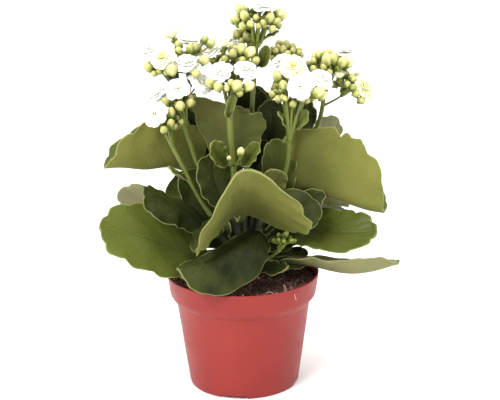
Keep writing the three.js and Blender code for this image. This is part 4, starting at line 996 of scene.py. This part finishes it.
def bud_candidates(head, seed):
    """Places for buds: the dome, and then a lower ring at its edge."""
    dome, ring = int(head["buds"] * DOME_TRIES), int(head["buds"] * RING_TRIES)
    for index in range(dome + ring):
        in_ring = index >= dome
        share = math.sqrt((index + 0.7) / dome) if not in_ring else 0.6 + 0.4 * float(chance(seed, index + 9))
        rise = head["rise"] * (1 - 0.5 * share * share) * (RING_RISE if in_ring else 1)
        rise += 2.5 * (float(chance(seed, index)) - 0.5)
        angle = GOLDEN_ANGLE * index + seed
        out = np.array([head["reach"] * share * math.cos(angle), head["reach"] * share * math.sin(angle), rise])
        radius = mix(BUD_SIZE[1], BUD_SIZE[0], 0.25 + 0.35 * share + 0.4 * float(chance(seed, index + 50)))
        yield head["crown"] + out, radius


heads = []
for given in HEADS:
    line = SmoothLine(given["branch"]) if "branch" in given else stem_lines[given["on"]]
    crown = line.point(1.0)
    blooms = [bloom_at(place, False) for place in given.get("blooms", ())]
    blooms += [bloom_at(place, True) for place in given.get("opening", ())]
    heads.append({**given, "line": line, "crown": crown, "axis": line.direction(1.0), "bloom_list": blooms})
heads_on = {name: [head for head in heads if head["on"] == name] for name in STEMS}
all_blooms = [bloom for head in heads for bloom in head["bloom_list"]]
all_buds = []
for head in heads:
    head["bud_list"] = [(np.array(place[:3], float), place[3]) for place in head.get("ripe", ())]
    all_buds += head["bud_list"]
for seed, head in enumerate(heads, 1):
    for middle, radius in bud_candidates(head, seed):
        apart = all(np.linalg.norm(middle - other) > BUD_SPACING * (radius + size) for other, size in all_buds)
        if apart and all(clear_of_bloom(middle, radius, bloom) for bloom in all_blooms):
            all_buds.append((middle, radius))
            head["bud_list"].append((middle, radius))
print("flowers:", len(all_blooms), "buds:", len(all_buds))

# %% [markdown]
# ## Flower stalks
#
# A head isn't a pin cushion: the stalk divides into a few arms, and each arm carries three or four short flower
# stalks. So the flowers are sorted by their bearing, an arm runs somewhat over half the way to the middle of each
# group, and thin curved tubes go on from there. Under a flower the tube widens to the green cup that holds the
# petals. Every tube has a radius for each of its rows, so it can taper and swell.

# %% Stalks in a head
ARM_SHARE, ARM_START = 0.6, 13.0
ARM_RADII = np.linspace(1.6, 1.1, 12)
FLOWER_STALK_RADII = [0.8, 0.68, 0.64, 0.66, 0.74, 1.0]
CUP_RADII = [0.8, 1.35, 1.6, 1.6, 1.55, 1.5, 1.6, 1.9]
SEPAL_RADII = [0.6, 0.85, 0.75, 0.5, 0.12]
SEPAL_START, SEPAL_LENGTH = 1.3, 4.2
ARM_GREEN, THIN_GREEN, CUP_GREEN = (0, 0, 0.6), (0, 0, 0.7), (0, 0, 0.9)


def bud_axis(head, middle):
    """The way a bud points: away from a place just below the head's crown."""
    return unit(middle - head["crown"] + head["axis"] * 4)


def arm_groups(head, feet):
    """Sorts flowers by bearing round the crown into groups of about four."""
    bearings = [math.atan2(foot[1] - head["crown"][1], foot[0] - head["crown"][0]) for foot, _ in feet]
    order = np.argsort(bearings)
    groups = max(1, round(len(feet) / 4))
    return [[feet[index] for index in part] for part in np.array_split(order, groups) if len(part)]


def add_sepals(sheet, base, axis):
    """Four pointed green scales round the foot of a flower."""
    side, other = square_to(axis)
    for turn in range(4):
        out = spoke(turn * math.pi / 2 + 0.4, side, other)
        line = SmoothLine([base + out * SEPAL_START * 0.7,
                           base + out * (SEPAL_START + 0.7) + axis * SEPAL_LENGTH * 0.45,
                           base + out * (SEPAL_START + 1.2) + axis * SEPAL_LENGTH])
        add_tube(sheet, line, SEPAL_RADII, ARM_GREEN, rows=5, sides=6)


def add_head_stalks(sheet, head):
    """The arms of a head, the thin stalks of its buds and flowers, and the cups with their scales."""
    crown, axis = head["crown"], head["axis"]
    feet = []
    for middle, radius in head["bud_list"]:
        toward = bud_axis(head, middle)
        feet.append((middle - toward * bud_length(radius) * 0.42, toward))
    feet += [(bloom["foot"], bloom["face"]) for bloom in head["bloom_list"]]
    for group in arm_groups(head, feet):
        goal = np.mean([foot for foot, _ in group], axis=0)
        knee = crown + (goal - crown) * head.get("spread", ARM_SHARE) + axis * 1.5
        fork = crown - axis * head.get("fork", ARM_START)
        aside = (knee - crown) - axis * (knee - crown).dot(axis)
        arm = SmoothLine([fork - axis * 3, fork + aside * 0.06, crown - axis * 5 + aside * 0.5, knee])
        add_tube(sheet, arm, ARM_RADII, ARM_GREEN, rows=12, sides=10)
        for foot, toward in group:
            bow = mix(knee, foot, 0.5) + (foot - knee) * 0.05 - toward * 0.12 * np.linalg.norm(foot - knee)
            line = SmoothLine([knee - (knee - crown) * 0.08, bow, foot, foot + toward * 0.8])
            add_tube(sheet, line, FLOWER_STALK_RADII, THIN_GREEN, rows=6, sides=8)
    for bloom in head["bloom_list"]:
        centre, face = bloom["centre"], bloom["face"]
        cup = SmoothLine([bloom["foot"] - face * 0.5, centre - face * 3, centre - face * 0.4])
        add_tube(sheet, cup, CUP_RADII, CUP_GREEN, rows=8, sides=12)
        add_sepals(sheet, centre - face * (TUBE - 0.5), face)


# %% [markdown]
# Each flower stalk is one mesh: the bare stalk above the last leaf, the branches to a second head, and the arms of
# its heads. Above the last leaf the stalk is a little slimmer, and it turns paler towards the top. Two small side
# buds stand on thin stalks of their own, part-way up the front one.

# %% Flower stalks
STALK_SLIM, STALK_TAPER = 0.82, 0.2
STALK_ROWS_UP, BRANCH_ROWS = 30, 14
BRANCH_RADII = np.linspace(1.5, 1.0, BRANCH_ROWS)
THIN_BRANCH = {"far_right": 0.65}
SIDE_BUDS = {"front": [((-6, -16, 181), (0, -26, 191), 3.0), ((-6, -16, 181), (-9, -25, 187), 1.8)]}
for name, (radius, leafy, _) in STEMS.items():
    sheet = Sheet()
    line = stem_lines[name]
    shares = np.linspace(line.share_at_height(leafy), 1, STALK_ROWS_UP)
    fork_share = 1 - ARM_START / line.length
    slim = mix(1, STALK_SLIM, np.clip((shares - shares[0]) / 0.1, 0, 1))
    radii = radius * slim * (1 - STALK_TAPER * np.clip((shares - fork_share) / (1 - fork_share), 0, 1))
    tones = np.stack([0 * shares, 0 * shares, np.linspace(0.1, 0.8, STALK_ROWS_UP)], -1)
    add_tube(sheet, line, radii, tones, rows=STALK_ROWS_UP, sides=20, start=shares[0], ribs=0.025)
    branch_radii = BRANCH_RADII * THIN_BRANCH.get(name, 1)
    for head in heads_on[name]:
        if "branch" in head:
            add_tube(sheet, head["line"], branch_radii, ARM_GREEN, rows=BRANCH_ROWS, sides=14)
    for head in heads_on[name]:
        add_head_stalks(sheet, head)
    for start, goal, _ in SIDE_BUDS.get(name, ()):
        bow = mix(np.array(start), np.array(goal), 0.5) - (0, 2, 2)
        add_tube(sheet, SmoothLine([start, bow, goal]), 0.8, rows=8)
    sheet.finish(f"{name}_flower_stalk", stalk_skin, "flower_stalk", f"stalk_{name}")
print("flower stalks:", len(STEMS))

# %% [markdown]
# ## Buds
#
# A bud is an egg with four blunt ridges, where its petals' edges meet in a slight twist. Its foot is wrapped in
# green, with four small scales, and the tip is cream. A ring of points at each of ten heights makes it, and the
# first mark says how near the tip a point is, for the colours.

# %% Bud finish
bud_skin = Finish("bud_skin", Roughness=0.38, Subsurface_Weight=0.3, Subsurface_Scale=0.002,
                  Subsurface_Radius=(1.0, 0.9, 0.5))
bud_tip, _, bud_tone = bud_skin.marks()
ripe = bud_skin.blend(bud_tone, linear(140, 147, 56), linear(231, 219, 160))
green_foot = bud_skin.blend(bud_tone, linear(84, 98, 26), linear(126, 138, 44))
uneven = bud_skin.times(bud_skin.minus(bud_skin.noise(500, 3), 0.5), 0.3)
ramp = bud_skin.plus(bud_tip, uneven)
bud_skin.colour(bud_skin.blend(bud_skin.steps(ramp, 0.16, 0.84), green_foot, ripe))
bud_skin.relief(bud_skin.noise(1200, 3), 0.08, 0.5)

# %% Bud shape
BUD_SHAPE = [(0.0, 0.3), (0.06, 0.58), (0.15, 0.82), (0.28, 0.98), (0.42, 1.0), (0.56, 0.95), (0.7, 0.82),
             (0.82, 0.62), (0.91, 0.4), (0.97, 0.2)]
BUD_SIDES, BUD_LOBES = 16, 4
WRAP_DEPTH, WRAP_TOP = 0.05, 0.3
SCALE_RADII = np.array([0.2, 0.26, 0.22, 0.12, 0.03])


def add_bud(sheet, middle, radius, axis, tone, turn):
    """One bud round its middle. tone says how ripe it is, and turn how it is turned round its axis."""
    side, other = square_to(axis)
    angles = full_turn(BUD_SIDES)
    length = bud_length(radius)
    lobe = np.cos(BUD_LOBES * (angles + turn))
    rings, marks = [], []
    for share, width in BUD_SHAPE:
        ridges = 1 + 0.02 * np.cos(BUD_LOBES * (angles + turn + 0.7 * share)) * (0.2 + 1.6 * share)
        wrap = WRAP_DEPTH * lobe * (share < WRAP_TOP)
        reach = (radius * width * (ridges + wrap))[:, None]
        rings.append(middle + axis * length * (share - 0.5) + reach * spoke(angles, side, other))
        marks.append(np.stack([share + 0.14 * lobe, 0 * angles, np.full(BUD_SIDES, tone)], -1))
    tips = [middle - axis * length * 0.52, middle + axis * length * 0.5]
    sheet.add_rings(np.array(rings), np.array(marks), tips)
    base = middle - axis * length * 0.5
    for number in range(BUD_LOBES):
        out = spoke(number * math.pi / 2 - turn, side, other)
        line = SmoothLine([base + out * radius * 0.5, base + out * radius * 0.94 + axis * length * 0.22,
                           base + out * radius * 1.02 + axis * length * 0.44])
        add_tube(sheet, line, radius * SCALE_RADII, (0.05, 0, tone * 0.5), rows=5, sides=6)


# %% Buds
YOUNG_HEAD, YOUNG_SIZE = "low_right", 0.7
SIDE_BUD_AXIS = unit(np.array([0.1, -0.2, 1.0]))
for name in STEMS:
    sheet = Sheet()
    young = name == YOUNG_HEAD
    for head in heads_on[name]:
        for number, (middle, radius) in enumerate(head["bud_list"]):
            ripe_share = (radius - BUD_SIZE[0]) / (BUD_SIZE[1] - BUD_SIZE[0])
            tone = 0.0 if young else float(np.clip(0.7 * ripe_share + 0.5 * chance(number, 5) - 0.1, 0, 1))
            radius *= YOUNG_SIZE if young else 1
            add_bud(sheet, middle, radius, bud_axis(head, middle), tone, 3 * float(chance(number, 8)))
    for _, goal, radius in SIDE_BUDS.get(name, ()):
        add_bud(sheet, np.array(goal, float) + (0, 0, radius), radius, SIDE_BUD_AXIS, 0.9, 1.0)
    sheet.finish(f"{name}_buds", bud_skin, "flower_stalk", f"stalk_{name}")
    print(f"{name} bud points:", sheet.count)

# %% [markdown]
# ## Double flowers
#
# A double kalanchoe flower has dozens of petals instead of four. The outer ones lie flat, and each further whorl
# is shorter and stands steeper, up to a tight heart. One petal is a thin curved grid that is narrow at its foot
# and rounded at its tip, closed on both sides so that it has a real thickness. A row for each whorl says how many
# petals it has, how long and wide they are, how far out and how high they start, and how steeply they rise at the
# foot and at the tip.

# %% Petal finish
petal_skin = Finish("petal_skin", Roughness=0.55, Subsurface_Weight=0.3, Subsurface_Scale=0.002,
                    Subsurface_Radius=(1.0, 0.95, 0.8))
petal_reach, petal_heart, petal_tone = petal_skin.marks()
ivory = petal_skin.blend(petal_tone, linear(253, 253, 252), linear(250, 246, 200))
heart = petal_skin.blend(petal_tone, linear(250, 249, 226), linear(234, 230, 130))
toward_heart = petal_skin.times(petal_skin.minus(1.0, petal_reach), 0.45)
toward_heart = petal_skin.plus(toward_heart, petal_skin.times(petal_heart, 0.35))
petal_skin.colour(petal_skin.blend(petal_skin.steps(toward_heart, 0.1, 0.8), ivory, heart))
petal_skin.relief(petal_skin.noise(1400, 3), 0.06, 0.5)

# %% Petals
OPEN_FLOWER = [(8, 9.4, 8.4, 1.1, -0.9, 4, -24), (8, 8.4, 7.8, 1.0, -0.5, 13, -8), (7, 7.0, 6.8, 0.9, -0.2, 26, 8),
               (6, 5.6, 5.8, 0.8, 0.0, 42, 30), (5, 4.4, 4.6, 0.6, 0.2, 60, 56)]
OPENING_FLOWER = [(6, 5.8, 5.0, 0.9, -0.8, 34, 58), (6, 5.2, 4.6, 0.8, -0.4, 50, 72), (5, 4.5, 3.8, 0.6, 0.0, 66, 90),
                  (4, 3.6, 2.8, 0.3, 0.2, 78, 100)]
PETAL_ROWS = np.array([0, 0.25, 0.5, 0.7, 0.84, 0.94, 1.0])
PETAL_COLUMNS = np.linspace(-1, 1, 5)
PETAL_OUTLINE = np.interp(PETAL_ROWS, [0, 0.25, 0.5, 0.72, 0.88, 1.0], [0.3, 0.66, 0.93, 1.0, 0.82, 0.34])
HALF_THICK, EDGE_THINNING = 0.17, 0.6


def add_petal(sheet, bloom, bearing, shape, curl, heart_mark, tone):
    """One petal, as a thin slab that leaves the flower's middle at a bearing and rises along its length."""
    length, width, foot, lift, low_angle, high_angle = shape
    centre, face = bloom["centre"], bloom["face"]
    out = spoke(bearing, *square_to(face))
    sideways = np.cross(face, out)
    angles = np.radians(mix(low_angle, high_angle, PETAL_ROWS))
    steps = np.diff(PETAL_ROWS) * length
    run = np.concatenate([[0], np.cumsum(np.cos(angles[:-1]) * steps)]) + foot
    climb = np.concatenate([[0], np.cumsum(np.sin(angles[:-1]) * steps)]) + lift
    across = PETAL_OUTLINE[:, None] * PETAL_COLUMNS * width / 2
    cup = curl * (across / (width / 2)) ** 2
    normal_out, normal_up = -np.sin(angles)[:, None], np.cos(angles)[:, None]
    sides = []
    for half in (HALF_THICK, -HALF_THICK):
        shift = cup + half * (1 - EDGE_THINNING * PETAL_COLUMNS ** 2)
        reach = run[:, None] + normal_out * shift
        height = climb[:, None] + normal_up * shift
        sides.append(centre + reach[..., None] * out + height[..., None] * face + across[..., None] * sideways)
    reach_mark = np.broadcast_to(PETAL_ROWS[:, None], across.shape)
    marks = np.stack([reach_mark, np.full(across.shape, heart_mark), np.full(across.shape, tone)], -1)
    sheet.add_slab(*sides, [marks, marks])


# %% [markdown]
# In every whorl the petals stand between those of the whorl below, and each one differs a little in its bearing,
# size, tilt and cup. A few flowers are cream instead of white: the half-open ones and three others.

# %% Flowers
FLOWER_TILT = 16


def add_flower(sheet, bloom, seed):
    """All the whorls of a flower, each petal a little different from the next."""
    whorls = OPENING_FLOWER if bloom["opening"] else OPEN_FLOWER
    tone = 0.9 if bloom["opening"] or bloom["cream"] else 0.15 * float(chance(seed, 2))
    for order, (count, length, width, foot, lift, low_angle, high_angle) in enumerate(whorls):
        for petal in range(count):
            wobble, growth, lean = (float(chance(seed + order, petal + shift)) for shift in (0, 20, 40))
            bearing = 2 * math.pi * (petal + 0.5 * (order % 2) + 0.35 * (wobble - 0.5)) / count + seed
            size = bloom["size"] * mix(0.9, 1.03, growth)
            tilt = FLOWER_TILT * (lean - 0.5)
            shape = (length * size, width * size, foot, lift, low_angle + tilt, high_angle + 1.4 * tilt)
            curl = mix(0.3, 0.9, float(chance(seed, petal + 60))) * (0.6 + 0.4 * order)
            add_petal(sheet, bloom, bearing, shape, curl, order / (len(whorls) - 1), tone)


for name in STEMS:
    on_stem = [bloom for head in heads_on[name] for bloom in head["bloom_list"]]
    for number, bloom in enumerate(on_stem, 1):
        sheet = Sheet()
        add_flower(sheet, bloom, number + len(name))
        sheet.finish(f"{name}_flower_{number}", petal_skin, "petal", f"bloom_{name}_{number}")
print("points in a flower:", sheet.count)

# %% [markdown]
# ## Small leaves on the stalks
#
# Pairs of small leaves sit part-way up the flower stalks, and narrow ones under the heads. They are made as the
# large leaves are, only smaller and with fewer teeth.

# %% Small leaves
BRACT = {"teeth": 2, "stalk_half_width": 0.9, "slope": ((10, 10), (10, 10)), "curl": (0, 0), "fused": True}
BRACTS = [
    dict(on="centre", height=272, rib=[(19, -3, 275), (24, -4, 277), (30, -5, 280)], up=(0, -0.4, 1),
         half_width=(2.2, 2.2), tone=0.3),
    dict(on="centre", height=273, rib=[(8, -3, 279), (5, -3, 282), (2, -4, 285)], up=(0.3, -0.6, 1),
         half_width=(2.2, 2.2), tone=0.3),
    dict(on="centre", height=252, rib=[(17, -3, 257), (19, -4, 263), (21, -5, 270)], up=(-0.3, -1, 0.3),
         half_width=(5, 5), tone=0.66),
    dict(on="front", height=180, rib=[(-13, -20, 184), (-18, -24, 192), (-21, -26, 202)], up=(0.6, -0.8, 0.4),
         half_width=(8, 9), curl=(10, 10), tone=0.6, teeth=3),
    dict(on="front", height=180, rib=[(3, -18, 184), (8, -20, 190), (14, -23, 199)], up=(-0.6, -0.8, 0.4),
         half_width=(7, 7), curl=(10, 10), tone=0.6, teeth=3),
    dict(on="front", height=218, rib=[(-9, -27, 223), (-7, -29, 230), (-5, -30, 238)], up=(0.2, -1, 0.2),
         half_width=(3.6, 3.6), tone=0.8),
    dict(on="right", height=205, rib=[(43, -14, 211), (47, -16, 217), (50, -18, 223)], up=(-0.4, -1, 0.3),
         half_width=(5, 5), tone=1.0),
    dict(on="right", height=205, rib=[(33, -14, 211), (31, -16, 216), (28, -17, 222)], up=(1, -0.3, 0.3),
         half_width=(3, 3), slope=((20, 20), (20, 20)), tone=1.0),
    dict(on="low_left", height=166, rib=[(-44, -18, 172), (-50, -22, 176), (-56, -24, 182)], up=(0.3, -0.4, 1),
         half_width=(4, 4), slope=((30, 30), (30, 30)), tone=1.0),
]
BRACT_THICKNESS = (1.6, 1.2, 0.7)
for name in dict.fromkeys(bract["on"] for bract in BRACTS):
    sheet = Sheet()
    for number, given in enumerate(BRACTS, 40):
        if given["on"] == name:
            leaf_surface(grown_leaf(number, {**BRACT, **given}), sheet, BRACT_THICKNESS)
    sheet.finish(f"{name}_small_leaves", leaf_skin, "leaf", f"stalk_{name}")
print("small leaves:", len(BRACTS))

# %% [markdown]
# ## Floor and light
#
# The photograph is a studio cut-out: white all round, with soft light from above and a little from the front left,
# and hardly a shadow. A white world fills every shadow. One wide area light hangs over the set, and two smaller
# ones at the left and the right of the camera give the leaves their soft shine. A sun would be simpler, but its
# shadows are hard.

# %% Floor and light
floor_mesh = bpy.data.meshes.new("floor")
FLOOR_REACH = 8.0
corners = [(FLOOR_REACH * x, FLOOR_REACH * y, 0) for x, y in ((-1, -1), (1, -1), (1, 1), (-1, 1))]
floor_mesh.from_pydata(corners, [], [(0, 1, 2, 3)])
floor_paint = Finish("floor_paint", Roughness=0.9)
floor_paint.colour(floor_paint.blend(floor_paint.noise(3), linear(242, 242, 240), linear(246, 246, 244)))
floor_mesh.materials.append(floor_paint.material)
floor = bpy.data.objects.new("floor", floor_mesh)
bpy.context.scene.collection.objects.link(floor)

world = bpy.data.worlds.new("white_studio")
world.use_nodes = True
background = world.node_tree.nodes["Background"]
background.inputs["Color"].default_value = (1, 1, 1, 1)
background.inputs["Strength"].default_value = 0.5
bpy.context.scene.world = world

# %% Softboxes
PLANT_MIDDLE = (0, 0, 0.17)
SOFTBOXES = [("ceiling", (0, 0.8, 2.6), (0, 0.8, 0), 6.0, 190),
             ("key_softbox", (-0.9, -1.3, 1.3), PLANT_MIDDLE, 0.9, 33),
             ("fill_softbox", (1.1, -1.2, 0.8), PLANT_MIDDLE, 1.0, 7)]
for name, place, target, size, power in SOFTBOXES:
    light = bpy.data.lights.new(name, "AREA")
    light.shape, light.size, light.energy = "DISK", size, power
    lamp = bpy.data.objects.new(name, light)
    bpy.context.scene.collection.objects.link(lamp)
    lamp.location = place
    direction = np.array(place) - np.array(target)
    lamp.rotation_euler = (math.atan2(math.hypot(direction[0], direction[1]), direction[2]), 0,
                           math.atan2(direction[0], -direction[1]))
print("softboxes:", len(SOFTBOXES))
bpy.context.scene.view_settings.view_transform = "Standard"
